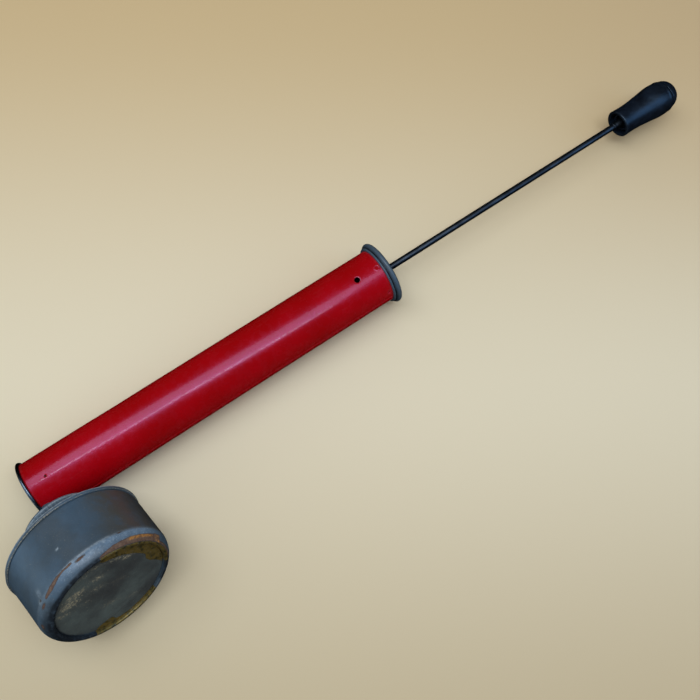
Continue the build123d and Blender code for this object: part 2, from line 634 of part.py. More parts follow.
with BuildPart() as handle:
    with BuildSketch(BARREL_SECTION):
        with BuildLine():
            mouth_edge = (handle_mouth - MOUTH_BEVEL, MOUTH_R)
            waist, bulb = (WAIST_STATION, WAIST_R), (BULB_STATION, BULB_R)
            step_edge = (STEP_STATION, STEP_R)
            recess = handle_mouth - RECESS_DEPTH
            socket = STEP_STATION + PLUG_SOCKET_DEPTH
            wall_r = MOUTH_R - MOUTH_WALL
            side = Spline(mouth_edge, waist, bulb, step_edge, tangents=((-1, 0), (-1, -0.55)))
            Polyline(
                step_edge, (STEP_STATION, PLUG_SOCKET_R), (socket, PLUG_SOCKET_R), (socket, ROD_R + SEAT),
                (BOSS_FACE, ROD_R + SEAT), (BOSS_FACE, BOSS_R), (recess, BOSS_R + MOULD_DRAFT[0]),
                (recess, RING_R - RING_WALL), (RING_FACE, RING_R - RING_WALL), (RING_FACE, RING_R),
                (recess, RING_R + MOULD_DRAFT[1]), (recess, wall_r - MOULD_DRAFT[2]), (handle_mouth, wall_r),
                (handle_mouth, MOUTH_R - MOUTH_BEVEL), mouth_edge,
            )
        make_face()
    revolve(axis=BARREL_AXIS)
    with BuildSketch(across_barrel(PIN_STATION).offset(PIN_TOP)):
        Circle(PIN_R)
    extrude(amount=-BARREL_R, mode=Mode.SUBTRACT)
finish(handle, "handle")

with BuildPart() as handle_plug:
    plug_face = STEP_STATION - SEAT
    with BuildSketch(BARREL_SECTION):
        with BuildLine():
            Polyline(
                (handle_end, 0), (STEP_STATION + PLUG_SPIGOT, 0),
                (STEP_STATION + PLUG_SPIGOT, PLUG_SOCKET_R - SEAT),
                (plug_face, PLUG_SOCKET_R - SEAT), (plug_face, STEP_R - STEP),
            )
            side = Spline((plug_face, STEP_R - STEP), (handle_end, 0), tangents=((-1, -0.5), (0, -1)))
        make_face()
    revolve(axis=BARREL_AXIS)
finish(handle_plug, "handle_plug")

with BuildPart() as handle_pin:
    with BuildSketch(across_barrel(PIN_STATION).offset(PIN_TOP)):
        Circle(PIN_R)
    extrude(amount=-(PIN_TOP + WAIST_R - PIN_END_GAP))
finish(handle_pin, "handle_pin")
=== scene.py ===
"""Looks of a hand-pump insecticide sprayer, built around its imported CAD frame.

The scene is in metres in the CAD's frame. Turned pieces are described in millimetres along and
round an axis: the barrel's, which runs forward from the rear face of its cap, or the can's, which
runs from the barrel's centre line to the can's foot.
"""
import json
from math import acos, ceil, cos, hypot, pi, radians, sin, tan

import bpy
import bmesh
import numpy as np
from mathutils import Matrix, Vector


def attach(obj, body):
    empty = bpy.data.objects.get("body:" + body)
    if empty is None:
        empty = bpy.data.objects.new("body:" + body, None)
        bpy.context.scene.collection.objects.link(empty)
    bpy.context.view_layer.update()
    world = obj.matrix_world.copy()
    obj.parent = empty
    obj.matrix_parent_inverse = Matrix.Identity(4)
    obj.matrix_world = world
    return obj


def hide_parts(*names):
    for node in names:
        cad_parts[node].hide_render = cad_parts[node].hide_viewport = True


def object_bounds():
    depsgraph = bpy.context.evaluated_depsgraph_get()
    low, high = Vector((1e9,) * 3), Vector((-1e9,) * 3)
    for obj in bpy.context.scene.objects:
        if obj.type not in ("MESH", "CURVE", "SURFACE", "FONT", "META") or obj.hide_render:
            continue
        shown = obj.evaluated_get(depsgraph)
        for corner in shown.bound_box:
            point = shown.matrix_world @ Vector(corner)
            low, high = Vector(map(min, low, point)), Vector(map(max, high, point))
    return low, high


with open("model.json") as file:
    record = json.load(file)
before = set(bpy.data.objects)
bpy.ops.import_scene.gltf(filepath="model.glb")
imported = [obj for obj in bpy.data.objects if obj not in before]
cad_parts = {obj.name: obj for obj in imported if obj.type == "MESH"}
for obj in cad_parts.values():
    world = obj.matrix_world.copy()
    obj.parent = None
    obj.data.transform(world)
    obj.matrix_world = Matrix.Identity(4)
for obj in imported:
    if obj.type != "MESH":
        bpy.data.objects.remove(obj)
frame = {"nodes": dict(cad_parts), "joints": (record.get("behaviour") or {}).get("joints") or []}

cad_low, cad_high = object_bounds()
MM = 0.001


# ---------------- axes
class Spindle:
    """An axis to turn pieces about, with the direction that its turns are counted from."""

    def __init__(self, origin, axis, start):
        self.origin = np.array(origin)
        self.axis = np.array(axis) / np.linalg.norm(axis)
        across = np.array(start) - (np.array(start) @ self.axis) * self.axis
        self.start = across / np.linalg.norm(across)
        self.side = np.cross(self.axis, self.start)

    def place(self, along, radius, turn):
        """Points in metres from millimetres along, millimetres out and degrees round."""
        along, radius, turn = np.broadcast_arrays(along, radius, np.radians(turn))
        out = np.cos(turn)[..., None] * self.start + np.sin(turn)[..., None] * self.side
        return self.origin + MM * (along[..., None] * self.axis + radius[..., None] * out)


joints = {joint["name"]: joint for joint in frame["joints"]}
SKY = (0, 0, 1)
BARREL = Spindle(joints["rod_turn"]["pos_m"], joints["plunger_slide"]["axis"], SKY)
CAN = Spindle(joints["can_turn"]["pos_m"], joints["can_turn"]["axis"], SKY)


# ---------------- shaping helpers
def clamp(value):
    return np.clip(value, 0, 1)


def rise(value, low, high):
    """A smooth step from 0 up to 1."""
    t = clamp((value - low) / (high - low))
    return t * t * (3 - 2 * t)


def fall(value, low, high):
    """A smooth step from 1 down to 0."""
    return 1 - rise(value, low, high)


def window(value, low, high, soft):
    """1 between low and high, fading to 0 over soft on each side."""
    return rise(value, low - soft, low) * fall(value, high, high + soft)


def bell(value, middle, width, power=2):
    """1 at the middle, falling away on both sides over about a width."""
    return np.exp(-((value - middle) / width) ** power)


def swing(turn, middle):
    """How far a turn is from the middle one, from -180 to 180 degrees."""
    return (turn - middle + 180) % 360 - 180


def arc_gap(turn, middle, radius):
    """How far a turn is from the middle one, in mm round a wall of that radius."""
    return np.radians(swing(turn, middle)) * radius


def arc_points(centre, radius, first, last, count):
    """Points of an arc in a section, with angles in degrees from straight along to straight out."""
    angles = np.radians(np.linspace(first, last, count))
    return [(centre[0] + radius * cos(a), centre[1] + radius * sin(a), 0) for a in angles]


def arc_through(first, middle, last, count):
    """Points of the arc through three points of a section."""
    (ax, ay), (bx, by), (cx, cy) = first, middle, last
    spread = 2 * (ax * (by - cy) + bx * (cy - ay) + cx * (ay - by))
    a2, b2, c2 = ax * ax + ay * ay, bx * bx + by * by, cx * cx + cy * cy
    centre = np.array([
        (a2 * (by - cy) + b2 * (cy - ay) + c2 * (ay - by)) / spread,
        (a2 * (cx - bx) + b2 * (ax - cx) + c2 * (bx - ax)) / spread,
    ])
    angles = [np.degrees(np.arctan2(*(np.array(p) - centre)[::-1])) for p in (first, middle, last)]
    sweep = swing(angles[2], angles[0])
    if abs(swing(angles[1], angles[0])) > abs(sweep):
        sweep -= np.sign(sweep) * 360
    radius = np.linalg.norm(np.array(first) - centre)
    return arc_points(centre, radius, angles[0], angles[0] + sweep, count)


def hermite(knots, count):
    """A smooth curve through (along, radius) knots, by cubic pieces."""
    points = np.array(knots, float)
    slopes = np.gradient(points[:, 1], points[:, 0])
    curve = []
    for i in range(len(points) - 1):
        span = points[i + 1, 0] - points[i, 0]
        for t in np.linspace(0, 1, count, endpoint=False):
            h = (2 * t**3 - 3 * t**2 + 1, t**3 - 2 * t**2 + t, -2 * t**3 + 3 * t**2, t**3 - t**2)
            ends = h[0] * points[i, 1] + h[2] * points[i + 1, 1]
            bends = h[1] * span * slopes[i] + h[3] * span * slopes[i + 1]
            curve.append((points[i, 0] + t * span, ends + bends, 0))
    return curve


def graded(first, last, step, fine):
    """Marks from first to last, closer together in each fine (start, end, step) stretch."""
    marks = [first]
    while marks[-1] < last - 1e-6:
        here = marks[-1]
        paces = [pace for start, end, pace in fine if start - step < here < end]
        marks.append(min(here + min([step, *paces]), last))
    return np.array(marks)


CORNER_FACETS = 5
NEAREST_CORNERS = 0.02      # corners closer than this, in mm, count as one
ROUNDED_SHARE = 0.49        # the most of an edge that one rounding may take


def section(corners, step=1.0, closed=True):
    """An outline of (along, radius, corner rounding) points, rounded and cut into short steps."""
    points, roundings = [], []
    for a, r, rounding in corners:
        if not points or hypot(a - points[-1][0], r - points[-1][1]) > NEAREST_CORNERS:
            points.append(np.array([a, r], float))
            roundings.append(rounding)
    rounded = []
    for i, point in enumerate(points):
        ends = not closed and i in (0, len(points) - 1)
        back = points[i - 1] - point
        ahead = points[(i + 1) % len(points)] - point
        straight = abs(back[0] * ahead[1] - back[1] * ahead[0]) < 1e-6
        if roundings[i] == 0 or ends or straight:
            rounded.append(point)
            continue
        longest = ROUNDED_SHARE * min(np.linalg.norm(back), np.linalg.norm(ahead))
        back, ahead = back / np.linalg.norm(back), ahead / np.linalg.norm(ahead)
        angle = acos(float(np.clip(back @ ahead, -1, 1)))
        reach = min(roundings[i] / tan(angle / 2), longest)
        bisector = (back + ahead) / np.linalg.norm(back + ahead)
        centre = point + bisector * reach / cos(angle / 2)
        first, last, sweep = point + back * reach - centre, point + ahead * reach - centre, pi - angle
        for k in range(CORNER_FACETS + 1):
            t = k / CORNER_FACETS
            blend = (sin((1 - t) * sweep) * first + sin(t * sweep) * last) / sin(sweep)
            rounded.append(centre + blend)
    outline = []
    count = len(rounded) if closed else len(rounded) - 1
    for i in range(count):
        here, there = rounded[i], rounded[(i + 1) % len(rounded)]
        pieces = max(1, ceil(np.linalg.norm(there - here) / step))
        outline += [here + (there - here) * k / pieces for k in range(pieces)]
    if not closed:
        outline.append(rounded[-1])
    return np.array(outline)


def even_turns(count):
    return np.arange(count) * 360 / count


# ---------------- mesh helpers
def new_object(name, data):
    """Put a mesh, lamp or camera in the scene."""
    holder = bpy.data.objects.new(name, data)
    bpy.context.scene.collection.objects.link(holder)
    return holder


def clean(mesh, sharp):
    """Merge poles, point the faces outwards and shade smooth between sharp edges."""
    work = bmesh.new()
    work.from_mesh(mesh)
    bmesh.ops.remove_doubles(work, verts=work.verts, dist=1e-7)
    bmesh.ops.recalc_face_normals(work, faces=work.faces)
    work.to_mesh(mesh)
    work.free()
    mesh.shade_smooth()
    mesh.set_sharp_from_angle(angle=radians(sharp))


def turned_mesh(name, spindle, outline, turns, shape, masks, closed, sharp):
    """A mesh turned from an outline. shape moves points, and masks are saved as attributes."""
    rows, columns = len(outline), len(turns)
    along = np.repeat(outline[:, 0][:, None], columns, 1)
    radius = np.repeat(outline[:, 1][:, None], columns, 1)
    turn = np.repeat(swing(np.array(turns), 0)[None, :], rows, 0)
    saved = {key: mask(along, radius, turn) for key, mask in masks.items()}
    if shape:
        along, radius = shape(along, radius, turn)
    points = spindle.place(along, radius, turn).reshape(-1, 3)
    index = np.arange(rows * columns).reshape(rows, columns)
    if closed:
        index = np.vstack([index, index[:1]])
    index = np.hstack([index, index[:, :1]])
    faces = np.stack([index[:-1, :-1], index[1:, :-1], index[1:, 1:], index[:-1, 1:]], -1)
    mesh = bpy.data.meshes.new(name)
    mesh.from_pydata(points.tolist(), [], faces.reshape(-1, 4).tolist())
    for key, values in saved.items():
        attribute = mesh.attributes.new(key, "FLOAT", "POINT")
        attribute.data.foreach_set("value", np.ascontiguousarray(values, np.float32).ravel())
    clean(mesh, sharp)
    return mesh


def ripple(along, turn, amount, seed, slow=0.05):
    """Gentle unevenness of rolled sheet: a few long waves that agree at every full turn."""
    random = np.random.default_rng(seed)
    height = np.zeros_like(along)
    for k in range(7):
        around = k // 2 + 1
        phase, drift = random.uniform(0, 2 * pi, 2)
        pace = random.uniform(0.4, 1.6) * slow
        height += np.sin(np.radians(turn) * around + phase + pace * along) * cos(drift)
    return amount * height / 4


def spots(along, turn, table):
    """Soft round spots, each (radius of its wall, along, turn, width, height, strength).
    Width runs along the wall and height round it, in mm. A negative strength makes a dent."""
    total = np.zeros_like(along)
    for radius, at, turned, width, height, strength in table:
        x, y = (along - at) / width, arc_gap(turn, turned, radius) / height
        total += strength * np.exp(-(x * x + y * y))
    return total


# ---------------- material helpers
class Finish:
    """A procedural material, wired up from outputs, numbers and colours."""

    def __init__(self, name, **shader):
        self.material = bpy.data.materials.new(name)
        self.material.use_nodes = True
        self.tree = self.material.node_tree
        self.shader = self.tree.nodes["Principled BSDF"]
        self.color = self.normal = None
        self.place = self.add("ShaderNodeTexCoord", {}, output=3)
        for key, value in shader.items():
            self.feed(self.shader, key.replace("_", " ").title().replace("Ior", "IOR"), value)

    def feed(self, node, key, value):
        socket = node.inputs[key]
        if isinstance(value, bpy.types.NodeSocket):
            self.tree.links.new(value, socket)
        elif isinstance(value, tuple) and len(value) == 3 and socket.type == "RGBA":
            socket.default_value = (*value, 1)
        else:
            socket.default_value = value

    def add(self, kind, sockets, output=0, **settings):
        node = self.tree.nodes.new(kind)
        for key, value in settings.items():
            setattr(node, key, value)
        for key, value in sockets.items():
            self.feed(node, key, value)
        return node.outputs[output]

    def stretched(self, stretch):
        if stretch == (1, 1, 1):
            return self.place
        return self.add("ShaderNodeVectorMath", {0: self.place, 1: stretch}, operation="MULTIPLY")

    def noise(self, scale, detail=3.0, roughness=0.55, stretch=(1, 1, 1), distortion=0.0):
        sockets = {
            "Vector": self.stretched(stretch), "Scale": scale, "Detail": detail,
            "Roughness": roughness, "Distortion": distortion,
        }
        return self.add("ShaderNodeTexNoise", sockets)

    def cells(self, scale):
        return self.add("ShaderNodeTexVoronoi", {"Vector": self.place, "Scale": scale})

    def band(self, value, low, high, bottom=0.0, top=1.0):
        sockets = {"Value": value, 1: low, 2: high, 3: bottom, 4: top}
        return self.add("ShaderNodeMapRange", sockets, interpolation_type="SMOOTHSTEP")

    def math(self, operation, first, second=0.0):
        return self.add("ShaderNodeMath", {0: first, 1: second}, operation=operation)

    def times(self, first, second):
        return self.math("MULTIPLY", first, second)

    def mix(self, factor, first, second):
        return self.add("ShaderNodeMix", {0: factor, 6: first, 7: second}, output=2, data_type="RGBA")

    def coat(self, amount, color):
        """Cover the colour so far with another, by an amount."""
        self.color = self.mix(amount, self.color, color)

    def level(self, factor, first, second):
        return self.add("ShaderNodeMix", {0: factor, 2: first, 3: second}, data_type="FLOAT")

    def mask(self, name):
        return self.add("ShaderNodeAttribute", {}, output=2, attribute_name=name)

    def bump(self, height, distance, strength=1.0):
        sockets = {"Height": height, "Distance": distance, "Strength": strength}
        if self.normal:
            sockets["Normal"] = self.normal
        self.normal = self.add("ShaderNodeBump", sockets)

    def done(self, roughness=None, metallic=None):
        chosen = {
            "Base Color": self.color, "Roughness": roughness, "Metallic": metallic, "Normal": self.normal,
        }
        for key, value in chosen.items():
            if value is not None:
                self.feed(self.shader, key, value)
        return self.material


# ---------------- materials
RED = (0.350, 0.0006, 0.0036)
RED_DEEP = (0.290, 0.0006, 0.0012)
RED_RUBBED = (0.36, 0.022, 0.024)
PRIMER = (0.085, 0.030, 0.028)
SLATE = (0.042, 0.062, 0.080)
SLATE_BLUE = (0.046, 0.082, 0.122)
# colour of a painted floor reflection
FLOOR_REFLECTION_BROWN = (0.058, 0.055, 0.046)
SLATE_GREY = (0.042, 0.048, 0.050)
# colour of a painted highlight
HIGHLIGHT_BLUE = (0.128, 0.201, 0.287)
# colour of rubbed paint and pale specks, and of painted highlights
PALE_RUB_AND_HIGHLIGHT = (0.27, 0.33, 0.38)
# colour of painted shade
SHADE_NAVY = (0.010, 0.014, 0.019)
RUST_HALO = (0.030, 0.024, 0.018)
RUST_DARK = (0.075, 0.034, 0.021)
RUST_ROSE = (0.151, 0.095, 0.063)
RUST_ORANGE = (0.350, 0.156, 0.033)
OLIVE = (0.213, 0.152, 0.040)
OLIVE_DARK = (0.062, 0.056, 0.022)
FOOT_GREY = (0.082, 0.109, 0.108)
CHALK = (0.27, 0.25, 0.18)
BAKELITE_BLACK, BAKELITE_NAVY = (0.0034, 0.0050, 0.0090), (0.006, 0.011, 0.021)
BAKELITE_SCRATCH, BAKELITE_DUST = (0.055, 0.065, 0.080), (0.050, 0.055, 0.062)
LEATHER_TAN, LEATHER_BROWN, LEATHER_DARK = (0.085, 0.042, 0.020), (0.038, 0.019, 0.010), (0.025, 0.013, 0.008)
FELT_DARK, FELT_PALE = (0.11, 0.10, 0.085), (0.24, 0.225, 0.19)
RUBBER_BLACK, RUBBER_BLOOM = (0.012, 0.012, 0.012), (0.05, 0.048, 0.045)
PAPER, PAPER_MOTTLE, PAPER_FIBRE = (0.709, 0.627, 0.453), (0.719, 0.637, 0.463), (0.60, 0.54, 0.42)
# the paper's colours towards its far and near sides and far corner are painted shade
FAR_PAPER_SHADE, CORNER_PAPER_SHADE, NEAR_PAPER_SHADE = (0.584, 0.437, 0.237), (0.55, 0.41, 0.24), (0.540, 0.442, 0.279)


def red_enamel():
    """Stoved enamel on tin: faint orange peel, hairlines along the barrel, chips where it is worn."""
    f = Finish(
        "red_enamel", specular_ior_level=0.38, specular_tint=(1.0, 0.42, 0.95),
        coat_weight=0.16, coat_roughness=0.10,
    )
    drift = f.noise(18, 4)
    f.color = f.mix(f.band(drift, 0.32, 0.68), RED, RED_DEEP)
    cloud = f.noise(140, 5, 0.6)
    f.coat(f.band(cloud, 0.45, 0.85, 0, 0.35), RED_DEEP)
    worn = f.mask("wear")
    hairline = f.noise(1500, 2, 0.5, stretch=(0.03, 1, 1))
    scratched = f.times(f.band(hairline, 0.66, 0.72), f.band(f.noise(60, 2), 0.5, 0.65))
    f.coat(f.times(scratched, 0.5), RED_RUBBED)
    rubbed = f.times(f.band(worn, 0.25, 0.9), f.band(f.noise(420, 4, 0.7), 0.35, 0.62))
    f.coat(f.times(rubbed, 0.7), RED_RUBBED)
    chip_edge = f.math("ADD", f.noise(1100, 4, 0.62), f.times(worn, 0.22))
    chip = f.band(chip_edge, 0.80, 0.83)
    f.coat(chip, f.mix(f.band(f.noise(2500, 2), 0.4, 0.6), PRIMER, RUST_DARK))
    roughness = f.level(f.band(f.noise(220, 4), 0.35, 0.7), 0.23, 0.31)
    roughness = f.level(f.math("MAXIMUM", f.times(rubbed, 0.6), chip), roughness, 0.62)
    f.bump(f.noise(520, 2, 0.5), 0.000035)
    f.bump(f.times(scratched, -1.0), 0.00002)
    f.bump(f.times(chip, -1.0), 0.00006)
    return f.done(roughness)


def painted_sheet(name, calm, drifting, roughness_range, gloss=0.5):
    """Old slate paint on pressed tin, with rust, bared patina, chalky scuffs and rubbed edges, and with
    painted shade, painted highlights and a painted floor reflection.
    Each mark shows where the piece's own mask of that name says, broken up by fine noise."""
    f = Finish(name, specular_ior_level=gloss)
    f.color = f.mix(f.band(f.noise(28, 5, 0.6), 0.35, 0.65), calm, drifting)
    f.coat(f.band(f.noise(260, 5, 0.7), 0.5, 0.8, 0, 0.30), SLATE_GREY)
    # painted highlight: paler, bluer colour where the piece's highlight mask says
    highlight_mask = f.mask("painted_highlight")
    painted_highlight = f.times(highlight_mask, f.band(f.noise(300, 4, 0.7), 0.25, 0.7, 0.55, 1.0))
    f.coat(f.times(painted_highlight, 0.85), HIGHLIGHT_BLUE)
    frost = f.times(highlight_mask, f.band(f.noise(900, 5, 0.8), 0.54, 0.64))
    f.coat(f.times(frost, 0.75), PALE_RUB_AND_HIGHLIGHT)
    # painted floor reflection: a dull brownish cast where the piece's mask says
    painted_floor_reflection = f.times(f.mask("painted_floor_reflection"), f.band(f.noise(170, 4, 0.7), 0.3, 0.6, 0.4, 0.9))
    f.coat(painted_floor_reflection, FLOOR_REFLECTION_BROWN)
    speck = f.band(f.noise(2300, 2, 0.6), 0.70, 0.74)
    f.coat(f.times(speck, 0.35), PALE_RUB_AND_HIGHLIGHT)

    scuff_mask = f.mask("scuff")
    scuff_grain = f.noise(950, 5, 0.8, stretch=(0.8, 1.5, 0.8))
    scuff = f.band(f.math("ADD", f.times(scuff_mask, 0.16), scuff_grain), 0.64, 0.69)
    f.coat(f.times(scuff_mask, 0.10), CHALK)
    f.coat(f.times(scuff, 0.9), CHALK)

    # rubbed pale edges, and painted highlights along some edges
    rub = f.times(f.mask("rub"), f.band(f.noise(700, 4, 0.7), 0.30, 0.62, 0.15, 1.0))
    f.coat(rub, PALE_RUB_AND_HIGHLIGHT)

    # painted shade in grooves, recesses and corners, broken up by noise
    painted_shade = f.times(f.mask("painted_shade"), f.band(f.noise(380, 4, 0.65), 0.25, 0.55, 0.45, 1.0))
    f.coat(painted_shade, SHADE_NAVY)

    ragged = f.math("SUBTRACT", f.noise(520, 5, 0.72), 0.5)
    rust_mask = f.mask("rust")
    rust_field = f.math("ADD", rust_mask, f.times(ragged, 0.75))
    f.coat(f.band(rust_field, 0.20, 0.33, 0, 0.8), RUST_HALO)
    rust = f.band(rust_field, 0.34, 0.42)
    hot = f.math("ADD", rust_mask, f.times(f.math("SUBTRACT", f.noise(750, 4, 0.7), 0.5), 0.9))
    rust_color = f.mix(f.band(hot, 0.40, 0.72), RUST_DARK, RUST_ROSE)
    rust_color = f.mix(f.band(hot, 0.80, 1.05), rust_color, RUST_ORANGE)
    rust_color = f.mix(f.band(f.noise(430, 5, 0.75), 0.50, 0.60, 0, 0.65), rust_color, RUST_DARK)
    rust_color = f.mix(f.band(f.noise(1500, 4, 0.75), 0.50, 0.60, 0, 0.75), rust_color, RUST_DARK)
    f.coat(rust, rust_color)

    patina_mask = f.mask("patina")
    patina_field = f.math("ADD", patina_mask, f.times(ragged, 0.55))
    f.coat(f.band(patina_field, 0.28, 0.38, 0, 0.8), RUST_HALO)
    patina = f.band(patina_field, 0.40, 0.47)
    patina_color = f.mix(f.band(f.noise(330, 4, 0.7), 0.45, 0.65), OLIVE, OLIVE_DARK)
    patina_color = f.mix(f.band(f.noise(900, 3, 0.6), 0.58, 0.70, 0, 0.35), patina_color, PALE_RUB_AND_HIGHLIGHT)
    f.coat(patina, patina_color)

    bared = f.math("MAXIMUM", rust, patina)
    low, high = roughness_range
    roughness = f.level(f.band(f.noise(160, 5, 0.65), 0.3, 0.7), low, high)
    roughness = f.level(f.math("MAXIMUM", scuff, f.times(rust, 0.9)), roughness, 0.82)
    roughness = f.level(patina, roughness, 0.40)
    f.bump(f.noise(1500, 3, 0.6), 0.00003)
    f.bump(f.noise(210, 3, 0.5), 0.00008)
    f.bump(f.times(bared, -1.0), 0.00010)
    f.bump(f.times(rust, f.noise(2400, 3, 0.7)), 0.00012)
    return f.done(roughness, metallic=f.times(patina, 0.55))


def bare_metal(name, pale, dark, roughness_range, grain=(1, 1, 1)):
    """Bare metal with a drawn or rolled grain, patchy tarnish, small pits and rust where it is masked."""
    f = Finish(name, metallic=1.0)
    f.color = f.mix(f.band(f.noise(90, 5, 0.65), 0.35, 0.75), pale, dark)
    streak = f.noise(1400, 3, 0.6, stretch=grain)
    f.coat(f.band(streak, 0.45, 0.75, 0, 0.45), dark)
    pit = f.band(f.noise(2600, 3, 0.7), 0.66, 0.72)
    f.coat(f.times(pit, 0.6), RUST_DARK)
    ragged = f.times(f.math("SUBTRACT", f.noise(600, 4, 0.7), 0.5), 0.8)
    rust = f.band(f.math("ADD", f.mask("rust"), ragged), 0.4, 0.6)
    f.coat(f.times(rust, 0.8), RUST_ROSE)
    low, high = roughness_range
    roughness = f.level(f.band(streak, 0.3, 0.7), low, high)
    roughness = f.level(f.math("MAXIMUM", pit, rust), roughness, 0.8)
    f.bump(streak, 0.00002)
    f.bump(f.times(pit, -1.0), 0.00004)
    return f.done(roughness)


def black_bakelite():
    """Black moulded plastic, dulled by hands, with fine scuffs and grey dust in its moulding lines."""
    f = Finish("black_bakelite", specular_ior_level=0.75, specular_tint=(0.62, 0.82, 1.0))
    f.color = f.mix(f.band(f.noise(120, 5, 0.65), 0.35, 0.7), BAKELITE_BLACK, BAKELITE_NAVY)
    hairline = f.noise(1700, 2, 0.5, stretch=(0.35, 1, 0.12), distortion=0.6)
    scratched = f.times(f.band(hairline, 0.66, 0.71), f.band(f.noise(130, 3), 0.45, 0.62))
    f.coat(f.times(scratched, 0.25), BAKELITE_SCRATCH)
    worn = f.times(f.mask("wear"), f.band(f.noise(800, 5, 0.75), 0.52, 0.70))
    f.coat(f.times(worn, 0.35), BAKELITE_DUST)
    roughness = f.level(f.band(f.noise(240, 5, 0.7), 0.3, 0.7), 0.30, 0.42)
    roughness = f.level(f.math("MAXIMUM", worn, f.times(scratched, 0.5)), roughness, 0.62)
    f.bump(f.noise(900, 3, 0.6), 0.00003)
    f.bump(f.times(scratched, -1.0), 0.00003)
    return f.done(roughness)


def oiled_leather():
    f = Finish("oiled_leather", specular_ior_level=0.4)
    grain = f.cells(1500)
    f.color = f.mix(f.band(f.noise(90, 5), 0.35, 0.7), LEATHER_TAN, LEATHER_BROWN)
    f.coat(f.band(grain, 0.3, 0.7, 0, 0.5), LEATHER_DARK)
    roughness = f.level(f.band(f.noise(200, 4), 0.3, 0.7), 0.42, 0.66)
    f.bump(grain, 0.00012, 0.6)
    return f.done(roughness)


def grey_felt():
    f = Finish("grey_felt", roughness=0.95, sheen_weight=0.5, specular_ior_level=0.15)
    fibre = f.noise(2600, 5, 0.75, stretch=(1, 0.35, 1), distortion=1.2)
    f.color = f.mix(f.band(fibre, 0.35, 0.7), FELT_DARK, FELT_PALE)
    f.bump(fibre, 0.00025, 0.8)
    return f.done()


def black_rubber():
    f = Finish("black_rubber", specular_ior_level=0.35)
    bloom = f.noise(260, 5, 0.7)
    f.color = f.mix(f.band(bloom, 0.4, 0.75), RUBBER_BLACK, RUBBER_BLOOM)
    roughness = f.level(f.band(bloom, 0.3, 0.7), 0.55, 0.8)
    f.bump(f.noise(1200, 3), 0.00004)
    return f.done(roughness)


FINISHES = {        # by the slot names of the CAD nodes
    "red_enamel": red_enamel(),
    "slate_paint": painted_sheet("slate_paint", SLATE_BLUE, SLATE, (0.34, 0.46)),
    "bottom_paint": painted_sheet("foot_paint", FOOT_GREY, SLATE_GREY, (0.50, 0.66), gloss=0.35),
    "rim_steel": bare_metal("rim_steel", (0.17, 0.21, 0.255), (0.040, 0.050, 0.062), (0.24, 0.36)),
    "tinplate": bare_metal("tinplate", (0.50, 0.49, 0.45), (0.24, 0.22, 0.19), (0.30, 0.48)),
    "dark_steel": bare_metal(
        "dark_steel", (0.085, 0.098, 0.115), (0.030, 0.034, 0.040), (0.34, 0.50), grain=(0.04, 1, 1),
    ),
    "spring_steel": bare_metal("spring_steel", (0.26, 0.27, 0.29), (0.12, 0.12, 0.13), (0.28, 0.40)),
    "brass": bare_metal("brass", (0.52, 0.36, 0.13), (0.24, 0.15, 0.06), (0.28, 0.42)),
    "black_bakelite": black_bakelite(),
    "leather": oiled_leather(),
    "felt": grey_felt(),
    "rubber": black_rubber(),
}
PIN_STEEL = bare_metal("pin_steel", (0.045, 0.030, 0.028), (0.015, 0.010, 0.010), (0.55, 0.75))


def turned_piece(name, spindle, outline, turns, rides, shape=None, masks=None, closed=True, sharp=35):
    """A turned piece. rides names its body, its slot and the CAD node that it stands for."""
    body, slot, replaced = rides
    mesh = turned_mesh(name, spindle, outline, turns, shape, masks or {}, closed, sharp)
    mesh.materials.append(FINISHES[slot])
    piece = new_object(name, mesh)
    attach(piece, body)
    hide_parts(replaced)
    return piece


# ---------------- measures read from the frame
def extent(node, spindle):
    """First and last distance along a spindle and the largest radius of a CAD node, in mm."""
    corners = np.array([list(v.co) for v in frame["nodes"][node].data.vertices])
    from_origin = (corners - spindle.origin) / MM
    along = from_origin @ spindle.axis
    radius = np.linalg.norm(from_origin - along[:, None] * spindle.axis, axis=1)
    return along.min(), along.max(), radius.max()


# ---------------- barrel
BARREL_R = 20.0
TIN_GAUGE = 0.5
HOLE_STATION, HOLE_R = 25.0, 2.1        # air inlet on top
PIN_STATION, PIN_R = 266.0, 0.65        # hole for the bulkhead's pin, on top
HOLES = ((HOLE_STATION, HOLE_R), (PIN_STATION, PIN_R))
HOLE_REACH = 0.006                      # metres round a hole in which its rim is sought
CRIMP_STATION, CRIMPS = 8.4, 6
CRIMP_DEPTH, CRIMP_HOLLOW = 0.95, 0.85
CRIMP_LIP, CRIMP_LIP_R, CRIMP_LIP_WIDTH = 0.16, 1.7, 0.5
SEAM_TURN, SEAM_HALF, SEAM_PROUD = -84.0, 2.5, 0.35
TUBE_DENTS = (
    (BARREL_R, 96, 38, 16, 8, -0.16), (BARREL_R, 171, -30, 11, 6, -0.14),
    (BARREL_R, 208, 62, 14, 9, -0.2), (BARREL_R, 60, 140, 18, 9, -0.2),
)
tube_start = extent("barrel_tube", BARREL)[0]
bead_back, bead_front, bead_r = extent("front_rim", BARREL)


def off_spot(along, turn, radius, at, turned):
    """Distance in mm over a surface from a point at a station and a turn."""
    return np.hypot(along - at, arc_gap(turn, turned, radius))


def crimp(along, turn, radius):
    """Punched dimples that hold the rear cap: a hollow with a slight lip."""
    sunk = np.zeros_like(along)
    for crimp_turn in even_turns(CRIMPS):
        gap = off_spot(along, turn, radius, CRIMP_STATION, crimp_turn)
        lip = CRIMP_LIP * bell(gap, CRIMP_LIP_R, CRIMP_LIP_WIDTH)
        sunk += lip - CRIMP_DEPTH * bell(gap, 0, CRIMP_HOLLOW)
    return sunk


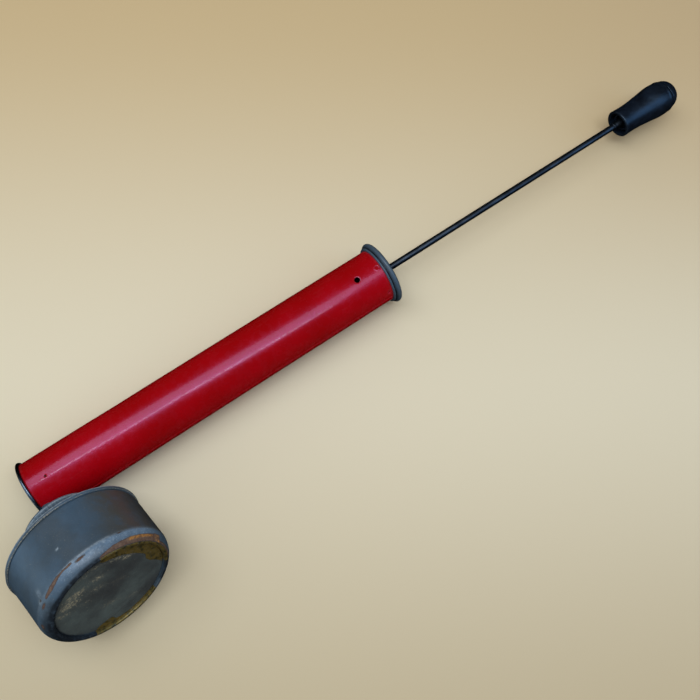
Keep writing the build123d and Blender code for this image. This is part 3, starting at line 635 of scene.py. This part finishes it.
def tube_shape(along, radius, turn):
    """Slight dents and ripples, punched-in hole rims, crimps, and the lap seam, which ends at the cap."""
    seam = np.abs(arc_gap(turn, SEAM_TURN, BARREL_R))
    proud = SEAM_PROUD * fall(seam, SEAM_HALF - 0.45, SEAM_HALF) * rise(along, 5.9, 6.6)
    bumps = ripple(along, turn, 0.05, 3, 0.03) * window(along, 40, 235, 25)
    bumps += spots(along, turn, TUBE_DENTS)
    for station, hole_r in HOLES:
        gap = off_spot(along, turn, BARREL_R, station, 0)
        bumps -= 0.2 * bell(np.maximum(gap - hole_r, 0), 0, 0.35)
    return along, radius + proud + bumps + crimp(along, turn, BARREL_R)


def tube_wear(along, radius, turn):
    """Wear at both ends, on the seam's edges, round the crimps and holes, and along the underside."""
    ends = fall(along, 6.2, 9.5) + rise(along, bead_back - 3.5, bead_back - 0.3)
    ridge = bell(np.abs(arc_gap(turn, SEAM_TURN, BARREL_R)), SEAM_HALF - 0.25, 0.35)
    below = rise(np.abs(turn), 140, 175)
    worn = 0.6 * ends + 0.7 * ridge + 0.35 * below
    for crimp_turn in even_turns(CRIMPS):
        gap = off_spot(along, turn, BARREL_R, CRIMP_STATION, crimp_turn)
        worn += 0.8 * bell(gap, CRIMP_LIP_R, CRIMP_LIP_WIDTH)
    worn += 0.9 * bell(off_spot(along, turn, BARREL_R, HOLE_STATION, 0), HOLE_R, 0.5)
    worn += 0.8 * bell(off_spot(along, turn, BARREL_R, PIN_STATION, 0), PIN_R, 0.4)
    return clamp(worn)


def cut_hole(work, station, hole_r):
    """Cut a round hole on top of the barrel and draw the points inside it out to its rim."""
    centre, up = Vector(BARREL.place(station, BARREL_R, 0)), Vector(BARREL.start)
    nearby = [v for v in work.verts if (v.co - centre).length < HOLE_REACH]
    gaps = {v: (v.co - centre) - (v.co - centre).dot(up) * up for v in nearby}
    inside = {v for v, gap in gaps.items() if gap.length < hole_r * MM}
    gone = [face for face in work.faces if all(v in inside for v in face.verts)]
    bmesh.ops.delete(work, geom=gone, context="FACES")
    for v in [v for v in inside if v.is_valid]:
        v.co += gaps[v].normalized() * (hole_r * MM - gaps[v].length)


def barrel_shell():
    """The painted tube, a sheet with two round holes, thickened inwards."""
    fine_stations = [(4.5, 11.5, 0.35), (21.5, 28.5, 0.3), (264.5, 267.5, 0.2)]
    fine_turns = [(-8, 8, 0.8)]
    fine_turns += [(edge - 1.5, edge + 1.5, 0.35) for edge in (SEAM_TURN - 7, SEAM_TURN + 7)]
    fine_turns += [(swing(turn, 0) - 7, swing(turn, 0) + 7, 1.0) for turn in even_turns(CRIMPS)]
    stations = graded(tube_start, bead_front - 1.4, 2.6, fine_stations)
    turns = graded(-180, 180, 2.4, fine_turns)[:-1]
    outline = np.stack([stations, np.full_like(stations, BARREL_R)], 1)
    piece = turned_piece(
        "barrel_shell", BARREL, outline, turns, ("pump", "red_enamel", "barrel_tube"),
        shape=tube_shape, masks={"wear": tube_wear}, closed=False,
    )
    work = bmesh.new()
    work.from_mesh(piece.data)
    for station, hole_r in HOLES:
        cut_hole(work, station, hole_r)
    work.to_mesh(piece.data)
    work.free()
    piece.data.materials.append(FINISHES["tinplate"])
    wall = piece.modifiers.new("wall", "SOLIDIFY")
    wall.thickness, wall.offset = TIN_GAUGE * MM, -1
    wall.use_even_offset = True
    wall.material_offset = wall.material_offset_rim = 1


def front_bead():
    """The rolled bead at the barrel's front end."""
    section_r = (bead_front - bead_back) / 2
    centre = (bead_back + section_r, bead_r - section_r)
    outline = np.array(arc_points(centre, section_r, 0, 345, 24))[:, :2]

    def knocks(along, radius, turn):
        flats = ((bead_r, centre[0], 150, 3, 6, -0.18), (bead_r, centre[0], 33, 3, 2.5, -0.12))
        return along, radius + spots(along, turn, flats) + ripple(along, turn, 0.04, 5)

    def rust(along, radius, turn):
        inner = fall(radius, centre[1] - 0.6, centre[1] + 0.4)
        return 0.30 * inner + 0.18 * rise(-along, -centre[0], -bead_back)

    turned_piece(
        "front_bead", BARREL, outline, even_turns(220), ("pump", "rim_steel", "front_rim"),
        shape=knocks, masks={"rust": rust}, sharp=60,
    )


# ---------------- rear cap
def rear_cap():
    """The spun cap: a rolled bead, a groove, a flange on the tube, a skirt inside it and a ringed end."""
    roll, roll_r = (2.0, 21.8), 2.0
    flange, flange_r = (5.0, 21.15), 0.8
    outside = BARREL_R + 0.05
    skirt = BARREL_R - TIN_GAUGE - 0.05
    corners = [
        *arc_points(roll, roll_r, 190, -12, 22), (4.2, 21.35, 0.25), *arc_points(flange, flange_r, 140, 5, 9),
        (5.8, outside, 0.1), (0.7, outside, 0.1), (0.7, skirt, 0.1), (12.0, skirt, 0.1),
        (12.0, skirt - 0.5, 0.1), (1.6, skirt - 0.5, 0.5), (1.6, 13.6, 0.4), (1.2, 12.6, 0.4),
        (1.2, 11.4, 0.4), (1.6, 10.4, 0.4), (1.6, 4.0, 0.1), (1.0, 4.0, 0.1), (1.0, 10.4, 0.4),
        (0.6, 11.4, 0.4), (0.6, 12.6, 0.4), (1.0, 13.6, 0.4), (1.0, skirt - 0.9, 0.6),
        (0.3, skirt - 0.1, 0.3),
    ]

    def shape(along, radius, turn):
        moved = crimp(along, turn, radius) * window(radius, skirt - 1, skirt + 0.3, 0.1)
        knocks = spots(along, turn, ((23.8, 1.5, -58, 3, 4, -0.15), (23.8, 2.5, 24, 3, 3, -0.10)))
        return along, radius + moved + (knocks + ripple(along, turn, 0.05, 8)) * rise(radius, 20.6, 21.4)

    def rub(along, radius, turn):
        top = bell(along, 1.2, 0.8) * rise(radius, 23.2, 23.75)
        lip = bell(along, 5.2, 0.5) * rise(radius, 21.5, 21.9)
        return 0.12 * top + 0.05 * lip

    # painted shade in the groove, in the bore and along the roll's sides
    def painted_shade(along, radius, turn):
        groove = bell(along, 4.15, 0.55, 4) * fall(radius, 22.2, 22.7) * rise(radius, 20.5, 21)
        bore = 0.4 * window(radius, 4, 7.5, 1) * fall(along, 1.2, 1.5)
        sides = 0.45 * (bell(along, 0.2, 0.7) + bell(along, 3.6, 0.5)) * rise(radius, 21, 22)
        return clamp(groove + bore + sides)

    turned_piece(
        "rear_cap_shell", BARREL, section(corners, step=1.2), even_turns(240),
        ("pump", "slate_paint", "rear_cap"), shape=shape, masks={"rub": rub, "painted_shade": painted_shade},
    )


# ---------------- screw cap
def neck_cap():
    """The screw cap soldered under the barrel, with a fluted grip and a rolled edge."""
    top, base, _ = extent("screw_cap", CAN)
    outer, wall, hole = 24.7, 0.6, 2.05
    flutes, per_flute, depth = 60, 8, 0.28
    corners = [
        (top, hole, 0), (top, outer, 2.4), (base - 2.2, outer, 0.3), (base - 1.7, outer - 0.35, 0.3),
        (base - 1.2, outer - 0.3, 0.3), (base - 0.9, outer + 0.25, 0.35), (base, outer + 0.25, 0.35),
        (base, outer - wall, 0.15), (top + wall, outer - wall, 0.6), (top + wall, hole, 0),
    ]

    def shape(along, radius, turn):
        grip = window(along, top + 3.2, base - 3.2, 0.7) * rise(radius, outer - 0.5, outer - 0.1)
        groove = (0.5 + 0.5 * np.cos(np.radians(turn) * flutes)) ** 2
        return along, radius - depth * grip * groove

    # painted highlight along the rounded top edge; the flute crests and the rolled edge are rubbed pale
    def rub(along, radius, turn):
        edge = bell(along, top + 2.4, 0.65) * rise(radius, outer - 1.2, outer - 0.1)
        crest = window(along, top + 3, base - 3, 0.5) * (0.5 - 0.5 * np.cos(np.radians(turn) * flutes)) ** 3
        roll = window(along, base - 1, base, 0.3) * rise(radius, outer, outer + 0.2)
        return clamp(edge + 0.25 * crest + 0.9 * roll)

    # painted shade in the groove above the rolled edge
    def painted_shade(along, radius, turn):
        low = window(along, base - 2.1, base - 1.1, 0.3)
        waist = fall(radius, outer - 0.2, outer + 0.1) * rise(radius, outer - 0.45, outer - 0.35)
        return 0.8 * low * waist

    turned_piece(
        "neck_cap", CAN, section(corners), even_turns(flutes * per_flute),
        ("pump", "slate_paint", "screw_cap"), shape=shape, masks={"rub": rub, "painted_shade": painted_shade},
    )


# ---------------- can
WALL_R = 43.0
CREASE_DEPTH = 87.0
KERB_DEPTH, KERB_RING_R, KERB_R = 94.3, 37.5, 1.3
BODY_DENTS = (
    (WALL_R, 66, 12, 9, 13, -0.35), (WALL_R, 78, -38, 7, 10, -0.30), (WALL_R, 74, 150, 12, 16, -0.45),
    (WALL_R, 88, 62, 2.5, 4, -0.35), (WALL_R, 88, -12, 1.6, 4, -0.15), (42, 91, -80, 2.5, 4, -0.3),
)
RUST_MARKS = (
    (42.6, 89.4, -7, 1.0, 4.2, 0.56), (42.4, 90.2, 40, 1.2, 3.4, 0.56), (WALL_R, 87.2, 38, 0.8, 1.3, 0.5),
    (42, 91.2, 64, 1.5, 3.2, 0.55), (WALL_R, 87.9, -42, 0.6, 1.8, 0.48), (WALL_R, 60, 172, 3, 5, 0.6),
    (42, 90, 150, 1.6, 7, 0.55), (WALL_R, 84, -140, 2, 4, 0.5),
)
RUB_FLECKS = (
    (WALL_R, 88.7, -28, 0.5, 1.3, 0.9), (42.5, 90, -16, 0.7, 1.0, 0.8), (43.5, 75, 2, 0.45, 0.7, 2.0),
    (WALL_R, 83.5, 35, 2.4, 1.8, 0.45), (WALL_R, 87, 39, 1.5, 1.5, 0.35),
)
SCUFF_LEAN = -35
DISC_SCUFFS = (     # radius, turn, length, width, strength
    (29.0, 47, 4.5, 3.4, 1.1), (27.0, 33, 4.5, 3.0, 1.0), (24.0, 24, 5.0, 2.6, 0.85),
    (23.5, 44, 5.0, 2.8, 0.8), (19.5, -6, 5.0, 2.4, 1.0), (12.0, 16, 6.0, 2.6, 0.7),
    (26.0, -54, 4.6, 2.4, 1.1), (27.5, -38, 5.0, 1.8, 0.9), (31.0, -10, 6.0, 1.2, 0.7),
    (33, 8, 9.0, 1.4, 0.45), (14, 150, 6.0, 2.6, 0.6), (24, -170, 5.0, 2.4, 0.6),
    (8, -80, 5, 2, 0.5), (31, 60, 5.0, 2.0, 0.8), (16, 60, 4.0, 2.0, 0.5),
)
rim_top, rim_foot, rim_r = extent("can_rim", CAN)
foot_back, foot_front, foot_r = extent("can_bottom", CAN)


def body_shape(along, radius, turn):
    wall = rise(along, 55, 62) * fall(along, 88, 94)
    bumps = ripple(along, turn, 0.16, 11, 0.08) * wall + spots(along, turn, BODY_DENTS)
    kerb = ripple(along, turn, 0.05, 12) * rise(along, 93, 95)
    return along + kerb, radius + bumps


def body_rust(along, radius, turn):
    """Rust along the shoulder's edge, in a streak under the crease, and in small marks."""
    outside = rise(radius, 38.5, 38.9)
    edge = np.interp(turn, [-76, -48, -32, -20, -16], [91.7, 92.1, 92.9, 94.3, 95.4])
    hot = 0.64 + 0.5 * window(turn, -72, -50, 7) * fall(along, edge + 1.0, edge + 1.9)
    shoulder = rise(along, edge - 0.3, edge + 0.3) * window(turn, -74, -18, 2.5) * hot
    corner = 0.9 * window(turn, -83, -77, 2) * window(along, 91.4, 94.6, 0.5)
    tail = 0.62 * window(turn, -112, -84, 3) * window(along, 94.2, 95.8, 0.4)
    middle = np.interp(turn, [2, 8, 14, 21, 30], [88.1, 87.8, 88.0, 88.9, 89.3])
    half = np.interp(turn, [0, 8, 16, 24, 31], [0.45, 0.60, 1.05, 1.35, 0.80])
    streak = 0.68 * bell(along, middle, half, 4) * window(turn, 0.5, 32, 1.5)
    marks = spots(along, turn, RUST_MARKS)
    under_seam = 0.36 * window(along, rim_foot, rim_foot + 1.2, 0.4) * window(swing(turn, 180), -70, 60, 20)
    return np.clip((shoulder + corner + tail + streak + marks + under_seam) * outside, 0, 1.2)


def body_patina(along, radius, turn):
    """Bared, yellowed metal on the kerb."""
    low = rise(along, 92, 92.5)
    near = window(turn, -116, -20, 2) * fall(radius, 38.3, 38.8)
    far = window(swing(turn, 168), -34, 36, 2) * fall(radius, 36.9, 37.6)
    return low * clamp(near + far)


def body_painted_shade(along, radius, turn):
    """Painted shade along the kerb and in the corner beside it."""
    kerb = rise(along, 93.0, 93.8) * fall(radius, 38.9, 40.3) * window(turn, -17, 140, 6)
    kerb += rise(along, 93.6, 94.8) * fall(radius, 38.6, 39.4) * window(swing(turn, 236), -18, 16, 4)
    corner = 0.8 * window(turn, 38, 112, 12) * rise(along, 89.0, 93)
    return clamp(kerb + corner)


def body_rub_and_highlight(along, radius, turn):
    """The crease above the shoulder, rubbed pale and with a painted highlight along it, and a few pale
    flecks.
    """
    crease = bell(along, CREASE_DEPTH + 0.5, 0.45) * (0.22 + 0.75 * window(turn, -30, 10, 8))
    return clamp(crease + spots(along, turn, RUB_FLECKS))


def body_painted_highlight(along, radius, turn):
    """Painted highlight: paler, bluer colour round the shoulder, brightest near the crease and fainter round
    one side.
    """
    fade = 1 - 0.75 * rise(along, 89.5, 94.5)
    around = 0.2 + 0.8 * window(turn, -62, 2, 30)
    return window(along, 88.2, 95.0, 0.6) * fade * around * rise(radius, 38, 38.6)


def body_painted_floor_reflection(along, radius, turn):
    """Painted floor reflection: a dull brownish cast on the side turned to the plunger, and between seam and
    wall.
    """
    return clamp(window(turn, -125, -52, 30) * fall(along, 87.5, 88.5))


def can_shell():
    """The can's wall, its rounded shoulder, and the kerb that the bottom disc is let into."""
    kerb, kerb_inside = (KERB_DEPTH, KERB_RING_R), KERB_RING_R - KERB_R
    ledge, ledge_r, ledge_foot = foot_back - 0.05, 34.2, foot_back - 0.55
    shoulder = arc_through((CREASE_DEPTH + 0.9, 42.9), (91.6, 41.7), (95.05, 38.55), 18)
    inside = arc_through((93.7, 38.1), (91.2, 41.3), (CREASE_DEPTH, 42.6), 8)
    corners = [
        (rim_foot + 0.02, 42.9, 0), (rim_foot + 0.02, 43.4, 0), (53.8, 43.45, 0.2), (54.2, 43.9, 0.3),
        (CREASE_DEPTH, 43.12, 0.9), *shoulder, *arc_points(kerb, KERB_R - 0.05, 50, 0, 8)[:-1],
        *arc_points(kerb, KERB_R, 0, -90, 9), (KERB_DEPTH - 0.8, kerb_inside, 0.2), (ledge, kerb_inside, 0.2),
        (ledge, ledge_r, 0.1), (ledge_foot, ledge_r, 0.1), (ledge_foot, 36.8, 0.2), *inside,
        (54.2, 43.4, 0.2), (53.8, 42.9, 0.2),
    ]
    masks = {
        "rust": body_rust, "patina": body_patina, "painted_shade": body_painted_shade,
        "rub": body_rub_and_highlight, "painted_highlight": body_painted_highlight, "painted_floor_reflection": body_painted_floor_reflection,
    }
    turned_piece(
        "can_shell", CAN, section(corners, step=1.1), even_turns(300), ("can", "slate_paint", "can_body"),
        shape=body_shape, masks=masks, sharp=60,
    )


def foot_bare_edge(turn):
    """Radius outside which the foot disc has lost its paint, by the turn."""
    near = np.interp(
        turn, [-124, -116, -110, -104, -96, -90, -84, -76, -64, -50, -36, -26, -20, -15],
        [37.5, 33.8, 31.0, 28.0, 26.6, 27.0, 28.6, 28.2, 28.0, 28.5, 29.1, 29.7, 31.0, 36.0],
    )
    far = np.interp(
        swing(turn, 168), [-37, -32, -27, -22, -16, -12, -6, 4, 30, 40],
        [37.5, 32.8, 31.3, 30.2, 29.6, 33.6, 34.6, 34.9, 35.3, 37.5],
    )
    return np.minimum(near, far)


def can_foot():
    """The bottom disc, let into the kerb, a little sprung inwards."""
    def shape(along, radius, turn):
        crown = 0.12 * bell(radius, 27, 2.2) - 0.35 * (1 - (radius / foot_r) ** 2)
        wave = ripple(radius, turn, 0.10, 21, 0.2) * np.sin(np.pi * clamp(radius / foot_r))
        return along + crown + wave, radius

    def patina(along, radius, turn):
        edge = foot_bare_edge(turn)
        return rise(radius, edge - 0.5, edge + 0.5)

    # painted shadow of the kerb along the disc's edge on one side, and painted shade round the whole edge
    def painted_shade(along, radius, turn):
        thick = 0.85 * rise(radius, 34.4, 35.6) * window(turn, -17, 110, 8)
        return clamp(thick + 0.3 * rise(radius, 35.2, 35.8))

    def scuff(along, radius, turn):
        x, y = radius * np.cos(np.radians(turn)), radius * np.sin(np.radians(turn))
        lean = radians(SCUFF_LEAN)
        marks = np.zeros_like(along)
        for ring_r, turned, long, wide, strength in DISC_SCUFFS:
            dx, dy = x - ring_r * cos(radians(turned)), y - ring_r * sin(radians(turned))
            u, v = dx * cos(lean) + dy * sin(lean), dy * cos(lean) - dx * sin(lean)
            marks += strength * np.exp(-(u / wide) ** 2 - (v / long) ** 2)
        return clamp(marks)

    corners = [(foot_front, 0, 0), (foot_front, foot_r, 0.35), (foot_back, foot_r, 0.15), (foot_back, 0, 0)]
    outline = section(corners, step=0.8, closed=False)
    turned_piece(
        "can_foot_disc", CAN, outline, even_turns(288), ("can", "bottom_paint", "can_bottom"),
        shape=shape, masks={"patina": patina, "painted_shade": painted_shade, "scuff": scuff}, closed=False,
    )


def can_seam():
    """The double seam between the can's top and wall, flattened on its outside by the seaming roll."""
    back = rim_r - 2.35
    corners = [(rim_top, back, 0.4), (rim_top, rim_r, 1.0), (rim_foot, rim_r, 1.0), (rim_foot, back, 0.4)]

    def shape(along, radius, turn):
        knocks = spots(along, turn, ((rim_r, 52, 58, 3, 5, -0.25), (rim_r, 52, -48, 3, 4, -0.2)))
        knocks += ripple(along, turn, 0.06, 15)
        return along + 0.5 * ripple(along, turn, 0.06, 16), radius + knocks * rise(radius, rim_r - 1.5, rim_r)

    def scuff(along, radius, turn):
        lower = bell(along, rim_foot - 0.22, 0.2) * rise(radius, rim_r - 1.3, rim_r - 0.7)
        return 1.5 * lower * (0.75 + 0.25 * np.sin(np.radians(turn) * 3 + 1))

    # painted highlight along the seam's top edge
    def rub(along, radius, turn):
        return 1.2 * bell(along, rim_top + 0.65, 0.4) * rise(radius, rim_r - 1.2, rim_r - 0.5)

    def rust(along, radius, turn):
        return 0.34 * window(swing(turn, 180), -60, 50, 15) * rise(radius, rim_r - 0.4, rim_r)

    turned_piece(
        "can_seam", CAN, section(corners, step=0.45), even_turns(300), ("can", "slate_paint", "can_rim"),
        shape=shape, masks={"rub": rub, "scuff": scuff, "rust": rust}, sharp=60,
    )


def can_dome():
    """The domed top with a pressed ring round the neck."""
    inner, outer = (46.3, 22.7), (51.6, 42.27)
    upper = arc_through(inner, (47.6, 34.0), outer, 24)
    lower = [(a + TIN_GAUGE, r, c) for a, r, c in reversed(upper)]

    def shape(along, radius, turn):
        wave = ripple(radius, turn, 0.08, 31, 0.2) * window(radius, 28, 39, 3)
        return along - 0.35 * bell(radius, 36.5, 1.0) + wave, radius

    # painted shade at the dome's edge under the seam and round the neck
    def painted_shade(along, radius, turn):
        return 0.6 * rise(radius, 40.3, 42) + 0.5 * fall(radius, 24.5, 27)

    turned_piece(
        "can_dome", CAN, section(upper + lower), even_turns(220), ("can", "slate_paint", "can_top"),
        shape=shape, masks={"painted_shade": painted_shade},
    )


# ---------------- plunger
handle_step, handle_mouth, bulb_r = extent("handle", BARREL)
plug_end, _, plug_r = extent("handle_plug", BARREL)
rod_back, rod_front, rod_r = extent("plunger_rod", BARREL)


def grip():
    """The waisted handle: hollow at its mouth, with a stiffening ring and a boss round the rod."""
    mouth_r, boss_face, ring_face = 10.5, handle_mouth - 5.0, handle_mouth - 3.0
    recess, socket = handle_mouth - 13.0, handle_step + 5.0
    bore, socket_r = rod_r + 0.05, 6.0
    side = hermite([
        (handle_step, bulb_r - 1.7), (handle_step + 0.9, bulb_r - 0.75), (handle_step + 4, bulb_r - 0.28),
        (handle_mouth - 38, bulb_r), (handle_mouth - 25, 11.45), (handle_mouth - 12, 10.3),
        (handle_mouth - 0.8, mouth_r),
    ], 9)
    corners = [
        *side, (handle_mouth, mouth_r, 0.7), (handle_mouth, mouth_r - 2.2, 0.5), (recess, mouth_r - 2.7, 0.6),
        (recess, 6.6, 0.5), (ring_face, 6.4, 0.3), (ring_face, 5.3, 0.3), (recess, 5.1, 0.4),
        (recess, 4.6, 0.4), (boss_face, 4.2, 0.3), (boss_face, bore, 0.2), (socket, bore, 0),
        (socket, socket_r, 0.2), (handle_step, socket_r, 0.1),
    ]

    def shape(along, radius, turn):
        flash = 0.07 * bell(arc_gap(turn * 2, 180, radius / 2), 0, 0.28)
        return along, radius + rise(radius, 9.5, 10.0) * (flash + ripple(along, turn, 0.03, 41))

    def wear(along, radius, turn):
        ends = fall(along, handle_step, handle_step + 3)
        ends += rise(along, handle_mouth - 2.5, handle_mouth - 0.3)
        bulb = 0.55 * window(along, handle_step, handle_step + 14, 6)
        return clamp((0.9 * ends + bulb + 0.15) * rise(radius, 9.5, 10))

    turned_piece(
        "grip", BARREL, section(corners), even_turns(160), ("rod", "black_bakelite", "handle"),
        shape=shape, masks={"wear": wear}, sharp=50,
    )


def grip_end():
    """The domed plug in the handle's end, which stands a little proud of it at a moulding line."""
    face, spigot_end, spigot_r = handle_step - 0.05, handle_step + 4.75, 5.9
    height = face - plug_end
    dome = [
        (plug_end + height * (1 - cos(a)), plug_r * sin(a) ** 0.9, 0) for a in np.linspace(0, pi / 2, 26)[1:]
    ]
    dome[-1] = (face, plug_r, 0.25)
    corners = [
        (plug_end, 0, 0), *dome, (face, spigot_r, 0), (spigot_end, spigot_r, 0.3), (spigot_end, 0, 0),
    ]

    def wear(along, radius, turn):
        return clamp(0.5 + 0.5 * rise(-along, -face, -plug_end))

    turned_piece(
        "grip_end", BARREL, section(corners, step=0.9, closed=False), even_turns(128),
        ("rod", "black_bakelite", "handle_plug"), masks={"wear": wear}, closed=False,
    )


def drawn_rod():
    """The steel rod, faintly uneven, with patches of rust."""
    corners = [(rod_back, 0, 0), (rod_back, rod_r, 0.2), (rod_front, rod_r, 0.5), (rod_front, 0, 0)]

    def shape(along, radius, turn):
        return along, radius * (1 + ripple(along, turn, 0.012, 51, 0.12))

    def rust(along, radius, turn):
        return 0.22 + 0.16 * np.sin(along * 0.11) * np.sin(along * 0.037 + 1)

    turned_piece(
        "drawn_rod", BARREL, section(corners, step=2.5, closed=False), even_turns(40),
        ("rod", "dark_steel", "plunger_rod"), shape=shape, masks={"rust": rust}, closed=False,
    )


def rod_sleeve():
    """The ferrule on the rod in the handle's mouth, pinched on near its end."""
    back, front, sleeve_r = extent("rod_ferrule", BARREL)
    corners = [(back, rod_r, 0.1), (back, sleeve_r, 0.2), (front, sleeve_r, 0.5), (front, rod_r, 0.1)]

    def shape(along, radius, turn):
        outer = rise(radius, rod_r + 0.25, sleeve_r - 0.1)
        pinch = 0.22 * bell(along, front - 2.2, 0.6)
        slit = 0.12 * bell(arc_gap(turn, 130, radius), 0, 0.18)
        return along, radius - (pinch + slit) * outer

    turned_piece(
        "rod_sleeve", BARREL, section(corners, step=0.5), even_turns(72),
        ("rod", "dark_steel", "rod_ferrule"), shape=shape,
    )


barrel_shell()
front_bead()
rear_cap()
neck_cap()
can_dome()
can_seam()
can_shell()
can_foot()
grip()
grip_end()
drawn_rod()
rod_sleeve()

# ---------------- CAD nodes that stay
for node in frame["nodes"].values():
    for place in node.material_slots:
        slot_name = place.material.name.split(".")[0]
        if slot_name in FINISHES:
            place.material = FINISHES[slot_name]
frame["nodes"]["bulkhead_pin"].material_slots[0].material = PIN_STEEL


# ---------------- stage
FLOOR_HALF, FLOOR_DROP = 7.0, 0.0002
LIGHTS = (      # name, ends of the panel's middle line, width, watts, colour
    ("window", (0.64, -0.74, 1.10), (-0.30, 0.33, 1.20), 0.50, 9.2, (0.78, 0.88, 1.0)),
    ("window_edge", (0.50, -0.22, 1.20), (-0.22, 0.46, 1.22), 0.035, 3.2, (0.80, 0.88, 1.0)),
    ("far_window", (-0.62, 0.32, 1.20), (-1.05, 1.0, 0.65), 0.65, 3.4, (0.28, 0.56, 1.0)),
    ("side_window", (1.1, -0.7, 0.25), (1.1, 0.6, 0.25), 0.5, 3.0, (0.55, 0.78, 1.0)),
)
ROOM_COLOR, ROOM_STRENGTH = (1.0, 0.84, 0.62, 1), 0.345


def floor_paper():
    """Cream paper with painted light and shade: palest in a broad band across the middle, darker and warmer
    towards its far and near sides and a far corner.
    """
    f = Finish("pale_paper", specular_ior_level=0.2)

    def distance_to(direction):
        return f.add("ShaderNodeVectorMath", {0: f.place, 1: direction}, output=1, operation="DOT_PRODUCT")

    across, lengthways = distance_to((-0.55, -0.835, 0)), distance_to((-0.835, 0.55, 0))
    f.color = f.mix(f.band(f.noise(2.2, 3, 0.5), 0.3, 0.7), PAPER, PAPER_MOTTLE)
    # painted shade: darker, warmer paper towards the far and near sides and a far corner
    f.coat(f.band(across, -0.06, 0.30), FAR_PAPER_SHADE)
    f.coat(f.band(across, -0.02, -0.30), NEAR_PAPER_SHADE)
    corner = f.times(f.band(lengthways, 0.02, 0.42), f.band(across, 0.0, 0.25))
    f.coat(f.times(corner, 0.6), CORNER_PAPER_SHADE)
    fibre = f.noise(900, 4, 0.6)
    f.coat(f.band(fibre, 0.4, 0.7, 0, 0.04), PAPER_FIBRE)
    f.bump(fibre, 0.00003)
    return f.done(0.75)


def floor():
    """The surface that the sprayer lies on, kept out of mirror reflections so that they stay deep."""
    corners = [(x * FLOOR_HALF, y * FLOOR_HALF, 0) for x, y in ((-1, -1), (1, -1), (1, 1), (-1, 1))]
    mesh = bpy.data.meshes.new("floor")
    mesh.from_pydata(corners, [], [(0, 1, 2, 3)])
    mesh.materials.append(floor_paper())
    piece = new_object("floor", mesh)
    piece.location.z = -FLOOR_DROP
    piece.visible_glossy = False


def placed(middle, *axes):
    """The matrix of a lamp or camera at a point, from its own three axes."""
    return Matrix.Translation(middle) @ Matrix(axes).transposed().to_4x4()


def area_light(name, start, end, width, watts, color, aim):
    """A long soft panel from start to end, facing the aim point."""
    start, end = Vector(start), Vector(end)
    middle = (start + end) / 2
    along = (end - start).normalized()
    back = middle - aim
    back = (back - back.dot(along) * along).normalized()
    lamp = bpy.data.lights.new(name, "AREA")
    lamp.shape = "RECTANGLE"
    lamp.size, lamp.size_y = (end - start).length, width
    lamp.energy, lamp.color = watts, color
    new_object(name, lamp).matrix_world = placed(middle, along, back.cross(along), back)


def room():
    """Warm light from all round, also kept out of mirror reflections."""
    world = bpy.data.worlds.new("room")
    bpy.context.scene.world = world
    world.use_nodes = True
    backdrop = world.node_tree.nodes["Background"]
    backdrop.inputs["Color"].default_value = ROOM_COLOR
    backdrop.inputs["Strength"].default_value = ROOM_STRENGTH
    world.cycles_visibility.glossy = False


def camera(azimuth, elevation, roll, target, distance, lens):
    """A camera that looks at a point from an azimuth and elevation, turned about its line of sight."""
    a, e, r = radians(azimuth), radians(elevation), radians(roll)
    back = Vector((sin(a) * cos(e), -cos(a) * cos(e), sin(e)))
    level_up = (Vector(SKY) - back.z * back).normalized()
    level_right = level_up.cross(back)
    up = cos(r) * level_up - sin(r) * level_right
    eye = bpy.data.cameras.new("camera")
    eye.lens, eye.sensor_width = lens, 36.0
    eye.clip_start, eye.clip_end = 0.01, 20
    holder = new_object("camera", eye)
    holder.matrix_world = placed(Vector(target) + distance * back, up.cross(back), up, back)
    bpy.context.scene.camera = holder


floor()
room()
for light in LIGHTS:
    area_light(*light, aim=Vector((cad_low + cad_high) / 2))
camera(
    azimuth=131.95, elevation=74.57, roll=14.19, target=(0.0347, -0.0047, 0.022), distance=0.5632, lens=41.14,
)
bpy.context.scene.view_settings.view_transform = "Standard"
